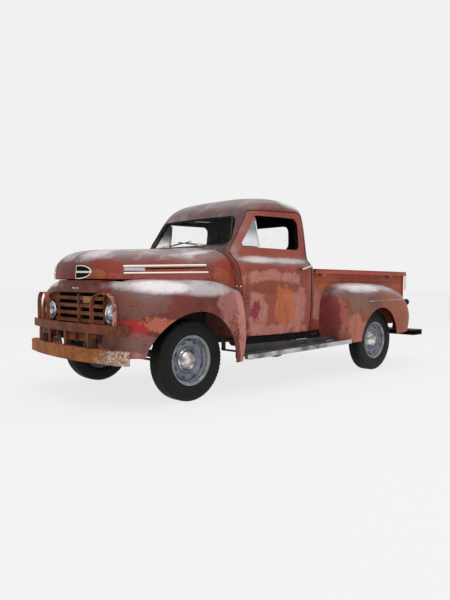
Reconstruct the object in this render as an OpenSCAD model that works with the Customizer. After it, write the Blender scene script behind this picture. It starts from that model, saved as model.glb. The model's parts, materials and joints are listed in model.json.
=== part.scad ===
// Half-ton pickup truck of the late 1940s with a step bed, a brush guard and a rear step bumper.
// Millimetres. +X is forward, +Y is the driver's side, +Z is up.
// The origin is on the ground, midway between the front bumper's face and the rear bumper's face.
// Inside each module X runs from the front axle, and the last lines shift everything to the origin.

/* [Chassis] */
// Distance between the front and rear axles
wheelbase = 2896; // [2400:1:3500]
// Distance between the front wheels' centre planes
front_track = 1450; // [1350:1:1600]
// Distance between the rear wheels' centre planes
rear_track = 1524; // [1440:1:1640]
// Reach of the front bumper ahead of the front axle
front_reach = 824; // [780:1:950]
// Reach of the rear bumper behind the rear axle
rear_reach = 1244; // [1150:1:1400]
// Height of the frame rails' underside
frame_z = 475; // [455:1:490]
// Height of a frame rail
rail_h = 140; // [100:1:145]
// Width of a frame rail's flanges
rail_w = 60; // [40:1:80]
// Thickness of the frame rails' steel
rail_wall = 6; // [4:0.5:10]
// Half of the frame's outside width
frame_half = 400; // [380:1:420]

/* [Wheels] */
// Radius of a tyre, which is also the height of the wheel centres
tyre_r = 360; // [330:1:375]
// Width of a tyre
tyre_w = 160; // [130:1:175]
// Radius of the rim's bead seat
bead_r = 203; // [190:1:215]
// Radius of the hub cap
hub_cap_r = 106; // [80:1:125]
// Radius of a wheel spindle
spindle_r = 18; // [14:0.5:24]
// Radius of a king pin
king_pin_r = 12; // [9:0.5:16]
// Radial clearance of a shaft in its bore
running_fit = 0.05; // [0.01:0.01:0.1]

/* [Cab] */
// Width of the cab over the doors
cab_w = 1670; // [1560:1:1720]
// Length of the cab from the cowl to the back panel at the centre line
cab_l = 1305; // [1200:1:1600]
// Distance from the front axle back to the cowl at the centre line
cowl_x = 475; // [440:1:520]
// Height of the roof
roof_z = 1930; // [1850:1:2050]
// Height of the belt line under the windows
belt_z = 1285; // [1250:1:1310]
// Height of the door's lower edge
sill_z = 530; // [515:1:560]
// Thickness of the cab's walls and doors
cab_wall = 45; // [30:1:60]
// How far the cowl and windscreen curve back at the sides
cowl_curve = 95; // [60:1:120]
// Gap around a closed door
door_gap = 8; // [6:0.5:12]
// Extra gap at the door's rear edge, which swings in an arc
door_rear_gap = 6; // [5:0.5:10]
// Thickness of the glass
glass_t = 6; // [4:0.5:8]

/* [Front end] */
// Half of the width over the fenders
fender_half = 950; // [900:1:1000]
// Height of the hood at its rear edge
hood_z = 1378; // [1330:1:1400]
// Height of the seam between the hood and the fenders
seam_z = 1062; // [1040:1:1080]
// Reach of the hood's nose ahead of the front axle
nose_x = 808; // [760:1:815]
// Thickness of the hood and fender skins
skin = 9; // [6:0.5:14]
// Gap between the hood and what surrounds it
hood_gap = 7; // [6:0.5:12]
// Radius of a headlamp
lamp_r = 92; // [75:1:105]
// Distance of a headlamp's centre from the centre line
lamp_y = 532; // [500:1:560]
// Height of the headlamps' centres
lamp_z = 772; // [740:1:800]

/* [Bumpers] */
// Radius of the front bumper's curve seen from above
bumper_r = 3000; // [2700:1:4000]
// Half of the front bumper's width
bumper_half = 812; // [760:1:860]
// Height of the front bumper's lower edge
bumper_z = 372; // [330:1:400]
// Height of the front bumper's face
bumper_h = 111; // [90:1:140]
// Height of the brush guard's rail above the ground
guard_z = 608; // [580:1:640]
// Height of the brush guard's rail face
guard_h = 78; // [60:1:90]
// Height of the lamp hoops' tops
hoop_z = 942; // [900:1:980]
// Radius of the hoops' tubes
hoop_r = 11; // [8:0.5:14]

/* [Bed] */
// Height of the bed's floor
bed_z = 690; // [680:1:720]
// Height of the bed's top rail
bed_top_z = 1197; // [1120:1:1280]
// Width between the bed's side panels
bed_w = 1246; // [1200:1:1280]
// Thickness of the bed's panels
bed_wall = 34; // [24:1:40]
// Gap between the cab's back and the bed
cab_bed_gap = 92; // [70:1:140]
// Reach of the bed behind the rear axle
bed_reach = 930; // [880:1:1000]
// Gap around the tailgate
tailgate_gap = 6; // [5:0.5:10]
// Thickness of the rear fenders' skins
rear_skin = 9; // [6:0.5:14]

/* [Hidden] */
$fn = 64;
// Shift from the front axle to the part's origin
front_axle_x = (wheelbase + rear_reach - front_reach) / 2;
cab_half = cab_w / 2;
cab_rear_x = -cowl_x - cab_l;
rear_x = -wheelbase;
bed_front_x = cab_rear_x - cab_bed_gap;
bed_rear_x = rear_x - bed_reach;
bed_half = bed_w / 2 + bed_wall;
frame_top = frame_z + rail_h;
hood_rear_x = -cowl_x + hood_gap;
// Play between solids that rest on each other and are curved or faceted
seat_gap = 0.3;
// Play between a moving panel and its neighbour
swing_gap = 6;

// ---------- curves and skins ----------

function catmull(a, b, c, d, t) =
    0.5 * ((2 * b) + (c - a) * t + (2 * a - 5 * b + 4 * c - d) * t * t + (3 * b - a - 3 * c + d) * t * t * t);

// A smooth curve through the points, with n steps between neighbours
function spline(p, n) =
    let (last = len(p) - 1)
    [for (i = [0:last - 1], k = [0:n - 1])
        catmull(i == 0 ? 2 * p[0] - p[1] : p[i - 1], p[i], p[i + 1],
            i + 1 == last ? 2 * p[last] - p[last - 1] : p[i + 2], k / n),
     p[last]];

function turned(rows) = [for (j = [0:len(rows[0]) - 1]) [for (row = rows) row[j]]];

// A smooth grid through a net of points
function surface_grid(net, nu, nv) =
    turned([for (column = turned([for (row = net) spline(row, nv)])) spline(column, nu)]);

function unit(v) = v / norm(v);

// The grid moved by t against its own normals
function inset_grid(g, t) =
    let (m = len(g) - 1, n = len(g[0]) - 1)
    [for (i = [0:m]) [for (j = [0:n])
        let (along = g[min(i + 1, m)][j] - g[max(i - 1, 0)][j],
            across = g[i][min(j + 1, n)] - g[i][max(j - 1, 0)])
        g[i][j] + t * unit(cross(along, across))]];

function two(a, b, c, d) = [[a, b, c], [a, c, d]];

// Triangles of a closed skin between two grids of the same size
function skin_faces(m, n) =
    let (s = m * n)
    [for (i = [0:m - 2], j = [0:n - 2])
        let (a = i * n + j, b = a + 1, c = a + n + 1, d = a + n)
        each concat(two(a, b, c, d), two(s + d, s + c, s + b, s + a)),
     for (j = [0:n - 2]) each two(j + 1, j, s + j, s + j + 1),
     for (j = [0:n - 2]) let (a = (m - 1) * n + j) each two(a, a + 1, s + a + 1, s + a),
     for (i = [0:m - 2]) let (a = i * n) each two(a, a + n, s + a + n, s + a),
     for (i = [0:m - 2]) let (b = i * n + n - 1) each two(b + n, b, s + b, s + b + n)];

function flat_list(g) = [for (row = g) each row];

module skin_between(outer, inner) {
    polyhedron(concat(flat_list(outer), flat_list(inner)), skin_faces(len(outer), len(outer[0])));
}

// Triangles between closed rings, open at the first ring and closed over the last
function ring_faces(m, n, first) =
    [for (i = [0:m - 2], j = [0:n - 1])
        let (k = (j + 1) % n, a = first + i * n + j, b = first + i * n + k)
        each two(a, b, b + n, a + n),
     for (j = [0:n - 1]) [first + (m - 1) * n + j, first + (m - 1) * n + (j + 1) % n, first + m * n]];

function reversed(faces) = [for (f = faces) [f[2], f[1], f[0]]];

function backwards(list) = [for (k = [len(list) - 1:-1:0]) list[k]];

function middle(ring) = [for (k = [0:2]) [for (p = ring) p[k]] * [for (p = ring) 1] / len(ring)];

// A dome-like shell: outer and inner rings from the rim upwards
module shell_between(outer, inner) {
    m = len(outer);
    n = len(outer[0]);
    s = m * n + 1;
    points = concat(flat_list(outer), [middle(outer[m - 1])], flat_list(inner), [middle(inner[m - 1])]);
    rim = [for (j = [0:n - 1]) let (k = (j + 1) % n) each two(j, k, s + k, s + j)];
    polyhedron(points, concat(reversed(ring_faces(m, n, 0)), ring_faces(m, n, s), rim));
}

// Outline with each corner rounded by its own radius, from [x, y, radius] corners
function rounded(p, n = 6) =
    [for (i = [0:len(p) - 1])
        let (q = [p[i][0], p[i][1]],
            a = [p[(i + len(p) - 1) % len(p)][0], p[(i + len(p) - 1) % len(p)][1]],
            b = [p[(i + 1) % len(p)][0], p[(i + 1) % len(p)][1]],
            u = unit(a - q), v = unit(b - q), half = acos(u * v) / 2, r = p[i][2],
            c = q + unit(u + v) * r / sin(half),
            start = q + u * r / tan(half) - c, end = q + v * r / tan(half) - c)
        each (r == 0 ? [q] : [for (k = [0:n])
            c + r * unit(start * sin((90 - half) * 2 * (1 - k / n)) + end * sin((90 - half) * 2 * k / n))])];

// Twice the signed area of an outline, below zero when it runs clockwise
function turn_sign(p) =
    sign([for (i = [0:len(p) - 1]) let (b = p[(i + 1) % len(p)]) p[i][0] * b[1] - b[0] * p[i][1]] * [for (q = p) 1]);

// Outline of [x, y, radius] corners moved outwards by g
function grown(p, g) =
    let (way = -turn_sign(p))
    [for (i = [0:len(p) - 1])
        let (q = p[i], a = p[(i + len(p) - 1) % len(p)], b = p[(i + 1) % len(p)],
            u = unit([q[0] - a[0], q[1] - a[1]]), v = unit([b[0] - q[0], b[1] - q[1]]),
            m = [-u[1], u[0]], k = [-v[1], v[0]], f = way * g / (1 + m * k))
        [q[0] + f * (m[0] + k[0]), q[1] + f * (m[1] + k[1]), max(0, q[2] + g)]];

module mirrored() {
    children();
    mirror([0, 1, 0]) children();
}

// Prism along Y over an outline in X and Z
module side_prism(outline, y0, y1) {
    translate([0, y1, 0]) rotate([90, 0, 0]) linear_extrude(y1 - y0) polygon(outline);
}

// Prism along X over an outline in Y and Z
module front_prism(outline, x0, x1) {
    translate([x0, 0, 0]) rotate([90, 0, 90]) linear_extrude(x1 - x0) polygon(outline);
}

module box(low, high) {
    translate(low) cube(high - low);
}

// Bar of a given radius between two points
module rod(a, b, r) {
    v = b - a;
    translate(a) rotate([0, acos(v[2] / norm(v)), atan2(v[1], v[0])]) cylinder(r = r, h = norm(v));
}

// ---------- cab shape ----------

// Height, setback of the front, inset of the rear, inset of the sides, front and rear corner radii
cab_levels = [
    [sill_z, 0, 20, 26, 35, 110],
    [sill_z + 110, 0, 8, 8, 40, 120],
    [sill_z + 300, 0, 0, 0, 45, 120],
    [belt_z - 285, 0, 0, 0, 45, 120],
    [belt_z - 130, 0, 0, 4, 48, 125],
    [belt_z - 80, 0, 2, 15, 55, 130],
    [belt_z - 35, 0, 3, 42, 70, 140],
    [belt_z, 4, 4, 75, 90, 150],
    [belt_z + 45, 12, 5, 88, 120, 155],
    [belt_z + 96, 55, 5, 95, 130, 160],
    [roof_z - 450, 112, 5, 108, 140, 165],
    [roof_z - 340, 180, 5, 122, 150, 175],
    [roof_z - 240, 240, 6, 137, 160, 185],
    [roof_z - 170, 288, 10, 150, 180, 200],
    [roof_z - 120, 335, 18, 166, 200, 215],
    [roof_z - 80, 390, 32, 195, 220, 235],
    [roof_z - 50, 455, 55, 240, 240, 255],
    [roof_z - 28, 535, 90, 300, 250, 270],
    [roof_z - 13, 640, 140, 385, 230, 260],
    [roof_z - 4, 770, 220, 500, 180, 220],
    [roof_z, 930, 330, 640, 100, 130]
];
function cab_value(z, k) = lookup(z, [for (level = cab_levels) [level[0], level[k]]]);
// Curve of the cab's front at distance y from the centre line
function front_sweep(y) = cowl_curve * pow(y / cab_half, 2);
side_bow = 0.035;
corner_steps = 5;

// One horizontal ring of the cab, moved in by the given insets at the front, rear and sides
function cab_ring(z, front, rear, side, at = undef) =
    let (x1 = -cowl_x - cab_value(z, 1) - front,
        x0 = cab_rear_x + cab_value(z, 2) + rear,
        w = cab_half - cab_value(z, 3) - side,
        room = 0.48 * min(x1 - x0, 2 * w),
        rf = min(room, max(12, cab_value(z, 4) - front)),
        rr = min(room, max(15, cab_value(z, 5) - rear)),
        mid = (x1 + x0) / 2, reach = (x1 - x0) / 2,
        front_corner = [for (k = [0:corner_steps])
            [x1 - rf + rf * cos(90 * k / corner_steps), w - rf + rf * sin(90 * k / corner_steps)]],
        rear_corner = [for (k = [0:corner_steps])
            [x0 + rr - rr * sin(90 * k / corner_steps), w - rr + rr * cos(90 * k / corner_steps)]],
        side_points = [for (k = [1:3]) [x1 - rf + (x0 + rr - x1 + rf) * k / 4, w]],
        half = concat([[x1, (w - rf) / 2]], front_corner, side_points, rear_corner, [[x0, (w - rr) / 2]]),
        all = concat([[x1, 0]], half, [[x0, 0]], [for (k = [len(half) - 1:-1:0]) [half[k][0], -half[k][1]]]))
    [for (p = all)
        [p[0] - front_sweep(p[1]) * max(0, (p[0] - mid) / reach),
            p[1] * (1 - side_bow * pow((p[0] - mid) / reach, 2)),
            at == undef ? z : at]];

inner_scale = (roof_z - cab_wall - sill_z) / (roof_z - sill_z);
// Level whose inner ring lies at height z
function inner_level(z) = sill_z + (z - sill_z) / inner_scale;

module cab_shell() {
    outer = [for (level = cab_levels) cab_ring(level[0], 0, 0, 0)];
    inner = [for (level = cab_levels)
        cab_ring(level[0], cab_wall, cab_wall, cab_wall, sill_z + (level[0] - sill_z) * inner_scale)];
    shell_between(outer, inner);
}

// Door opening seen from the side, as [x, z, radius] corners
door_front_x = -cowl_x - 165;
door_rear_x = cab_rear_x + 118;
door_top_z = roof_z - 158;
opening_corners = [
    [door_front_x, sill_z - 60, 0],
    [door_front_x + 17, sill_z + 290, 200],
    [door_front_x + 76, belt_z + 40, 60],
    [door_front_x - 214, door_top_z - 24, 60],
    [door_rear_x + 3, door_top_z + 12, 110],
    [door_rear_x, belt_z, 300],
    [door_rear_x + 10, sill_z - 60, 0]
];
window_corners = [
    [door_front_x - 32, belt_z + 96, 28],
    [door_front_x - 268, door_top_z - 76, 45],
    [door_rear_x + 118, door_top_z - 62, 75],
    [door_rear_x + 122, belt_z + 96, 60]
];
windscreen_corners = [
    [645, belt_z + 112, 60], [-645, belt_z + 112, 60], [-565, roof_z - 238, 90], [565, roof_z - 238, 90]
];
rear_window_corners = [
    [430, belt_z + 105, 90], [-430, belt_z + 105, 90], [-420, roof_z - 245, 90], [420, roof_z - 245, 90]
];
// The height where the back panel ends and the roof begins
roof_seam_z = roof_z - 200;

// Doors and their openings reach in to this distance from the centre line
door_reach_y = 600;
module door_openings() {
    mirrored() side_prism(rounded(opening_corners), door_reach_y - door_gap, cab_half + 60);
}

module rest_of_cab() {
    difference() {
        cab_shell();
        door_openings();
    }
}

// Hood hinge line and the place of its two hinges
hood_pivot = [hood_rear_x - 22, hood_z - 53];
hood_hinge_y = 430;
hinge_pin_r = 6;
// Door hinge line and the places of its two hinges
door_pivot = [-cowl_x - 85, cab_half - 12];
door_hinge_zs = [sill_z + 90, sill_z + 340];

// Room for the frame and gearbox under the cowl and the back panel
module frame_room() {
    box([cab_rear_x - 50, -frame_half - swing_gap, 0], [0, frame_half + swing_gap, frame_top + seat_gap]);
}

module cowl() color("firebrick") {
    difference() {
        intersection() {
            rest_of_cab();
            box([-1100, -cab_half - 50, sill_z - 10], [0, cab_half + 50, belt_z + 96]);
        }
        frame_room();
    }
    mirrored() {
        // Hood hinge lug with its bore
        difference() {
            box([hood_pivot[0] - 62, hood_hinge_y - 7, hood_pivot[1] - 14], [hood_pivot[0] + 11, hood_hinge_y + 7, hood_pivot[1] + 11]);
            translate([hood_pivot[0], hood_hinge_y + 10, hood_pivot[1]]) rotate([90, 0, 0])
                cylinder(r = hinge_pin_r + running_fit, h = 20);
        }
        // Door hinge knuckles on short arms
        for (z = door_hinge_zs) difference() {
            union() {
                translate([door_pivot[0], door_pivot[1], z]) cylinder(r = 10, h = 28);
                box([door_pivot[0] - 5, door_pivot[1] - 60, z], [door_pivot[0] + 9, door_pivot[1], z + 28]);
            }
            translate([door_pivot[0], door_pivot[1], z - 1]) cylinder(r = hinge_pin_r + running_fit, h = 30);
        }
    }
}

module cab_roof() color("rosybrown") {
    difference() {
        intersection() {
            rest_of_cab();
            union() {
                box([-1300, -cab_half, belt_z + 96], [0, cab_half, roof_z + 10]);
                box([cab_rear_x - 50, -cab_half, roof_seam_z], [-1200, cab_half, roof_z + 10]);
            }
        }
        front_prism(rounded(windscreen_corners), -1300, 0);
    }
}

module cab_back() color("firebrick") {
    difference() {
        intersection() {
            rest_of_cab();
            box([cab_rear_x - 50, -cab_half - 50, sill_z - 10], [-1300, cab_half + 50, roof_seam_z]);
        }
        front_prism(rounded(rear_window_corners), cab_rear_x - 100, -1400);
        frame_room();
    }
}

floor_z = frame_top + 7;
floor_t = 24;

module cab_floor() color("dimgray") {
    ring = cab_ring(floor_z, cab_wall + 3, cab_wall + 3, cab_wall + swing_gap + 10, 0);
    translate([0, 0, floor_z]) linear_extrude(floor_t) polygon([for (p = ring) [p[0], p[1]]]);
    mirrored() {
        box([door_rear_x + 8, cab_half - 150, sill_z - 70], [door_front_x - 8, cab_half - 100, floor_z + 1]);
        box([door_rear_x + 8, cab_half - 101, sill_z - 70], [door_front_x - 8, cab_half - 20, sill_z - 8]);
    }
    for (x = [-cowl_x - 200, cab_rear_x + 200], side = [-1, 1])
        translate([x, side * (frame_half - rail_w / 2), frame_top]) cylinder(r = 28, h = floor_z - frame_top);
}

// Windscreen surface at a given depth below the cab's skin
function windscreen_x(y, z, depth) = -cowl_x - cab_value(z, 1) - front_sweep(y) - depth;

module windscreen_glass() {
    depth = 20;
    ys = [for (k = [-6:6]) 112 * k];
    zs = [for (k = [0:5]) belt_z + 90 + (roof_z - belt_z - 320) * k / 5];
    outer = [for (z = zs) [for (y = ys) [windscreen_x(y, z, depth), y, z]]];
    inner = [for (z = zs) [for (y = ys) [windscreen_x(y, z, depth + glass_t), y, z]]];
    intersection() {
        skin_between(inner, outer);
        front_prism(rounded(grown(windscreen_corners, -seat_gap)), -1300, 0);
    }
}

module cab_glass() color("lightsteelblue") {
    windscreen_glass();
    front_prism(rounded(grown(rear_window_corners, -seat_gap)), cab_rear_x + 25, cab_rear_x + 25 + glass_t);
}

door_corners = [for (p = grown(opening_corners, -door_gap)) p[0] < -1200 ? [p[0] + door_rear_gap, p[1], p[2]] : p];

module door() {
    difference() {
        intersection() {
            cab_shell();
            side_prism(rounded(door_corners), door_reach_y, cab_half + 60);
        }
        side_prism(rounded(window_corners), door_reach_y - 1, cab_half + 60);
    }
    // Handle with its two posts
    handle_z = belt_z - 88;
    for (x = [door_rear_x + 90, door_rear_x + 215])
        translate([x, cab_half - 45, handle_z]) rotate([-90, 0, 0]) cylinder(r = 9, h = 71);
    translate([door_rear_x + 80, cab_half + 26, handle_z]) rotate([0, 90, 0]) cylinder(r = 9, h = 165);
    // Hinge straps outside the cowl, with the pin between their eyes
    for (z = door_hinge_zs) {
        translate([door_pivot[0], door_pivot[1], z - 15]) cylinder(r = hinge_pin_r, h = 58);
        for (eye_z = [z - 15, z + 29]) {
            translate([door_pivot[0], door_pivot[1], eye_z]) cylinder(r = 10, h = 14);
            box([door_pivot[0] - 160, door_pivot[1] - 4, eye_z], [door_pivot[0], door_pivot[1] + 4, eye_z + 14]);
            box([door_pivot[0] - 160, door_pivot[1] - 28, eye_z], [door_front_x - 20, door_pivot[1] - 3, eye_z + 14]);
        }
    }
}

module door_left() color("salmon") door();
module door_right() color("salmon") mirror([0, 1, 0]) door();

// Quarter light: a small pane in the window's front corner and the divider bar behind it
divider_x = door_front_x - 300;
module vent_window() {
    pane_y = cab_half - cab_value(belt_z + 250, 3) - 26;
    pane = rounded(grown([
        [window_corners[0][0], window_corners[0][1], 28],
        [window_corners[1][0], window_corners[1][1], 20],
        [divider_x + 8, window_corners[1][1] + 0.5, 2],
        [divider_x - 8, window_corners[0][1], 2]
    ], -seat_gap));
    tilt = 9;
    translate([0, pane_y, belt_z + 96 + seat_gap]) rotate([tilt, 0, 0]) translate([0, 0, -belt_z - 96]) {
        side_prism(pane, -3, 3);
        rod([divider_x - 16, 0, window_corners[0][1] + 2], [divider_x, 0, window_corners[1][1] - 12], 9);
    }
}
module vent_window_left() color("lightsteelblue") vent_window();
module vent_window_right() color("lightsteelblue") mirror([0, 1, 0]) vent_window();

// ---------- hood, fenders and apron ----------

// Base line of the hood: x and half-width
function hood_base_y(x) = lookup(x, [[-560, 772], [-300, 770], [-120, 712], [60, 660], [260, 612], [440, 566], [560, 515], [640, 455]]);

hood_net = [
    // Each row: centre line, crown, shoulder, side and base of the left half
    [[hood_rear_x, 0, hood_z], [hood_rear_x - 14, 300, hood_z - 5], [hood_rear_x - 48, 560, hood_z - 40],
        [hood_rear_x - 75, 715, hood_z - 160], [hood_rear_x - 88, 772, hood_z - 395]],
    [[-240, 0, hood_z - 14], [-240, 290, hood_z - 22], [-240, 535, hood_z - 62],
        [-240, 680, hood_z - 180], [-240, 770, seam_z - 14]],
    [[0, 0, hood_z - 26], [0, 275, hood_z - 36], [0, 500, hood_z - 78],
        [0, 620, hood_z - 190], [0, 690, seam_z]],
    [[240, 0, hood_z - 38], [240, 255, hood_z - 50], [240, 455, hood_z - 94],
        [240, 560, hood_z - 200], [240, 615, seam_z]],
    [[460, 0, hood_z - 52], [460, 225, hood_z - 66], [460, 395, hood_z - 112],
        [460, 498, hood_z - 212], [460, 555, seam_z]],
    [[630, 0, hood_z - 76], [625, 185, hood_z - 92], [615, 325, hood_z - 138],
        [595, 425, hood_z - 225], [580, 492, seam_z]],
    [[735, 0, hood_z - 135], [728, 150, hood_z - 148], [706, 265, hood_z - 186],
        [672, 360, hood_z - 248], [645, 425, seam_z]],
    [[788, 0, hood_z - 205], [776, 128, hood_z - 212], [744, 232, hood_z - 232],
        [706, 315, hood_z - 272], [682, 368, seam_z]],
    [[nose_x, 0, seam_z], [nose_x - 14, 110, seam_z], [nose_x - 46, 205, seam_z],
        [nose_x - 84, 282, seam_z], [nose_x - 112, 335, seam_z]]
];
function both_sides(row) = concat([for (k = [len(row) - 1:-1:1]) [row[k][0], -row[k][1], row[k][2]]], row);

module hood() color("indianred") {
    outer = surface_grid([for (row = hood_net) both_sides(row)], 3, 3);
    skin_between(outer, inset_grid(outer, -skin));
    mirrored() {
        translate([hood_pivot[0], hood_hinge_y + 20, hood_pivot[1]]) rotate([90, 0, 0]) cylinder(r = hinge_pin_r, h = 40);
        for (y = [hood_hinge_y - 20, hood_hinge_y + 8])
            box([hood_pivot[0] - 7, y, hood_pivot[1] - 7], [hood_pivot[0] + 30, y + 12, hood_z - 6 - (y - 300) / 8]);
    }
}

fender_net = [
    // Each row: hood seam, crown, shoulder, upper side, side and lower edge
    [[-548, 786, 972], [-552, 822, 952], [-555, 868, 880], [-553, 900, 740], [-545, 925, 540], [-505, 928, 322]],
    [[-420, 783, 1010], [-422, 828, 998], [-425, 882, 925], [-428, 922, 790], [-425, fender_half - 8, 600],
        [-410, fender_half - 8, 322]],
    [[-230, 781, seam_z - 16], [-230, 826, seam_z - 20], [-230, 885, 965], [-230, 932, 830],
        [-230, fender_half - 3, 640], [-230, fender_half - 3, 330]],
    [[-10, 702, seam_z], [-10, 790, seam_z - 12], [-10, 872, 985], [-10, 930, 860],
        [-10, fender_half, 680], [-10, fender_half, 330]],
    [[230, 628, seam_z], [230, 740, seam_z - 12], [230, 845, 985], [230, 918, 860],
        [230, fender_half - 2, 680], [230, fender_half - 3, 330]],
    [[440, 573, seam_z - 4], [440, 695, seam_z - 34], [436, 800, 958], [432, 882, 835],
        [430, 922, 660], [430, 926, 385]],
    [[550, 545, seam_z - 22], [560, 660, 1000], [562, 752, 905], [562, 822, 785],
        [564, 858, 625], [566, 866, 428]],
    [[592, 556, seam_z - 52], [616, 650, 945], [628, 712, 850], [634, 752, 725],
        [638, 776, 580], [638, 782, 426]],
    [[606, 592, 985], [643, 630, 905], [654, 656, 815], [658, 664, 705],
        [662, 670, 570], [662, 674, 426]]
];

// Wheel arch outline: a half ellipse that reaches further ahead than behind
function arch(x, z, up, ahead, behind, n = 24) =
    concat([for (k = [0:n]) let (a = 180 * k / n) [x + (a < 90 ? ahead : behind) * cos(a), z + up * sin(a)]],
        [[x - behind, -50], [x + ahead, -50]]);

// Front edge of the fender, which the apron meets
fender_front = fender_net[len(fender_net) - 1];

module front_fender() {
    outer = surface_grid(fender_net, 3, 4);
    last = len(outer) - 1;
    inset = inset_grid(outer, -skin);
    // The front end is square to the centre line, so that the apron can meet it
    inner = [for (i = [0:last]) i < last ? inset[i] : [for (p = outer[last]) p - [skin, 0, 0]]];
    difference() {
        skin_between(outer, inner);
        side_prism(arch(20, tyre_r - 25, 458, 545, 430), 480, fender_half + 60);
    }
}
module front_fender_left() color("indianred") front_fender();
module front_fender_right() color("indianred") mirror([0, 1, 0]) front_fender();

function apron_row(k, depth, drop) =
    let (end = fender_front[k] - [0, k == 0 ? 2.4 : 0.7, 0])
    [[end[0] - depth, 0, end[2] + drop], [end[0] - 0.9 * depth, 200, end[2] + drop],
        [end[0] - 0.65 * depth, 380, end[2] + 0.7 * drop], [end[0] - 0.3 * depth, 540, end[2] + 0.2 * drop], end];
apron_net = [
    // Rows from under the hood down to the lower valance, left half from the centre line
    [[715, 0, seam_z - 12], [690, 200, seam_z - 12], [640, 360, seam_z - 12], [575, 480, seam_z - 18], [554, 543.5, seam_z - 24]],
    [[695, 0, 1018], [674, 200, 1016], [638, 360, 1012], [606, 480, 1010], [597, 558.5, seam_z - 53]],
    apron_row(0, -66, 0), apron_row(1, -16, 30), apron_row(2, 4, 20),
    apron_row(3, 0, 0), apron_row(4, -2, 0), apron_row(5, -2, 0)
];
// Open mouth between the fenders' lower fronts, seen from ahead
mouth_corners = [[-440, guard_z + 42, 30], [440, guard_z + 42, 30], [300, 520, 60], [250, 400, 0], [-250, 400, 0], [-300, 520, 60]];
grille_corners = [
    [-640, lamp_z - 122, 118], [-640, lamp_z + 122, 118], [-420, lamp_z + 180, 120],
    [420, lamp_z + 180, 120], [640, lamp_z + 122, 118], [640, lamp_z - 122, 118]
];

module front_apron() color("indianred") {
    outer = surface_grid([for (row = apron_net) both_sides(row)], 3, 2);
    difference() {
        skin_between(outer, inset_grid(outer, -skin));
        front_prism(rounded(grille_corners), 400, 900);
        front_prism(rounded(mouth_corners), 400, 900);
        // Slots for the bumper irons
        mirrored() box([500, frame_half - 18, frame_z + 44], [800, frame_half + swing_gap, frame_top + swing_gap]);
    }
}

bar_x = 640;
plate_x = 615;
module grille() color("saddlebrown") {
    // Rolled lip inside the opening, and an end plate round each headlamp
    difference() {
        front_prism(rounded(grown(grille_corners, -seat_gap)), plate_x - 6, 660);
        front_prism(rounded(grown(grille_corners, -8)), plate_x - 7, 700);
    }
    difference() {
        front_prism(rounded(grown(grille_corners, -7)), plate_x - 6, plate_x);
        box([600, -396, 600], [700, 396, 1000]);
        mirrored() translate([500, lamp_y, lamp_z]) rotate([0, 90, 0]) cylinder(r = lamp_r - 5, h = 200);
    }
    for (k = [0:3]) box([bar_x - 14, -412, lamp_z - 92 + 66 * k], [bar_x + 6, 412, lamp_z - 60 + 66 * k]);
    for (y = [-408, -16, 376]) box([bar_x - 31, y, lamp_z - 112], [bar_x - 13, y + 32, lamp_z + 162]);
}

module headlamps() color("gainsboro") {
    mirrored() translate([0, lamp_y, lamp_z]) rotate([0, 90, 0]) {
        translate([0, 0, plate_x - 95]) cylinder(r1 = 55, r2 = lamp_r - 6, h = 96);
        translate([0, 0, plate_x]) cylinder(r = lamp_r, h = 25);
        intersection() {
            translate([0, 0, plate_x - 93]) sphere(r = 148);
            translate([0, 0, plate_x + 23]) cylinder(r = lamp_r - 6, h = 60);
        }
    }
}

// Splash panel from the frame rail up to a flange under the fender's inner edge
module inner_fenders() color("dimgray") {
    seam = spline([for (row = fender_net) row[0]], 3);
    rows = [for (k = [0:15])
        let (p = seam[k], low = p[2] - skin - seat_gap - (k < 5 ? 32 : k < 11 ? 6.6 : 10))
        [[p[0], frame_half, frame_top], [p[0], frame_half + 62, 880], [p[0], p[1] - 36, p[2] - 40],
            [p[0], p[1] - 30, low], [p[0], p[1] + 9, low - 0.6]]];
    inner = [for (row = rows) [for (k = [0:4]) row[k] + (k < 3 ? [0, -6, 0] : k == 3 ? [0, -6, 6] : [0, 0, 6])]];
    mirrored() difference() {
        skin_between(inner, rows);
        linear_extrude(roof_z) polygon(concat(
            [for (y = [300:50:900]) [seat_gap - cowl_x - front_sweep(y), y]], [[-cowl_x - 300, 900], [-cowl_x - 300, 300]]));
    }
    box([404, -frame_half - 50, frame_top], [416, frame_half + 50, 870]);
}

// ---------- rear body ----------

side_y = bed_half + seat_gap;
rear_fender_net = [
    // Rows from the front edge on the bed side, round the fender, to the rear edge; x from the rear axle
    [[836, side_y, 930], [872, side_y, 830], [888, side_y, 720], [888, side_y, 600], [872, side_y, 480], [842, side_y, 382]],
    [[776, side_y, 985], [812, 775, 912], [830, 818, 785], [832, 842, 640], [818, 850, 500], [790, 850, 380]],
    [[676, side_y, 1022], [704, 800, 968], [716, 880, 852], [712, 918, 690], [700, 930, 530], [680, 932, 378]],
    [[476, side_y, 1042], [486, 806, 1010], [492, 898, 905], [496, fender_half - 8, 740], [496, fender_half, 560], [496, fender_half, 385]],
    [[96, side_y, 1048], [96, 808, 1022], [96, 904, 915], [96, fender_half - 4, 750], [96, fender_half + 6, 570], [96, fender_half + 4, 400]],
    [[-254, side_y, 1036], [-254, 802, 1006], [-254, 896, 902], [-254, fender_half - 8, 745], [-254, fender_half, 580], [-254, fender_half - 2, 420]],
    [[-524, side_y, 985], [-544, 790, 948], [-564, 878, 852], [-578, 922, 720], [-574, 934, 590], [-554, 930, 440]],
    [[-660, side_y, 915], [-690, 768, 868], [-710, 830, 782], [-716, 862, 690], [-710, 872, 580], [-686, 868, 446]],
    [[-704, side_y, 862], [-730, side_y, 805], [-744, side_y, 740], [-750, side_y, 670], [-742, side_y, 580], [-714, side_y, 450]]
];

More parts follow.
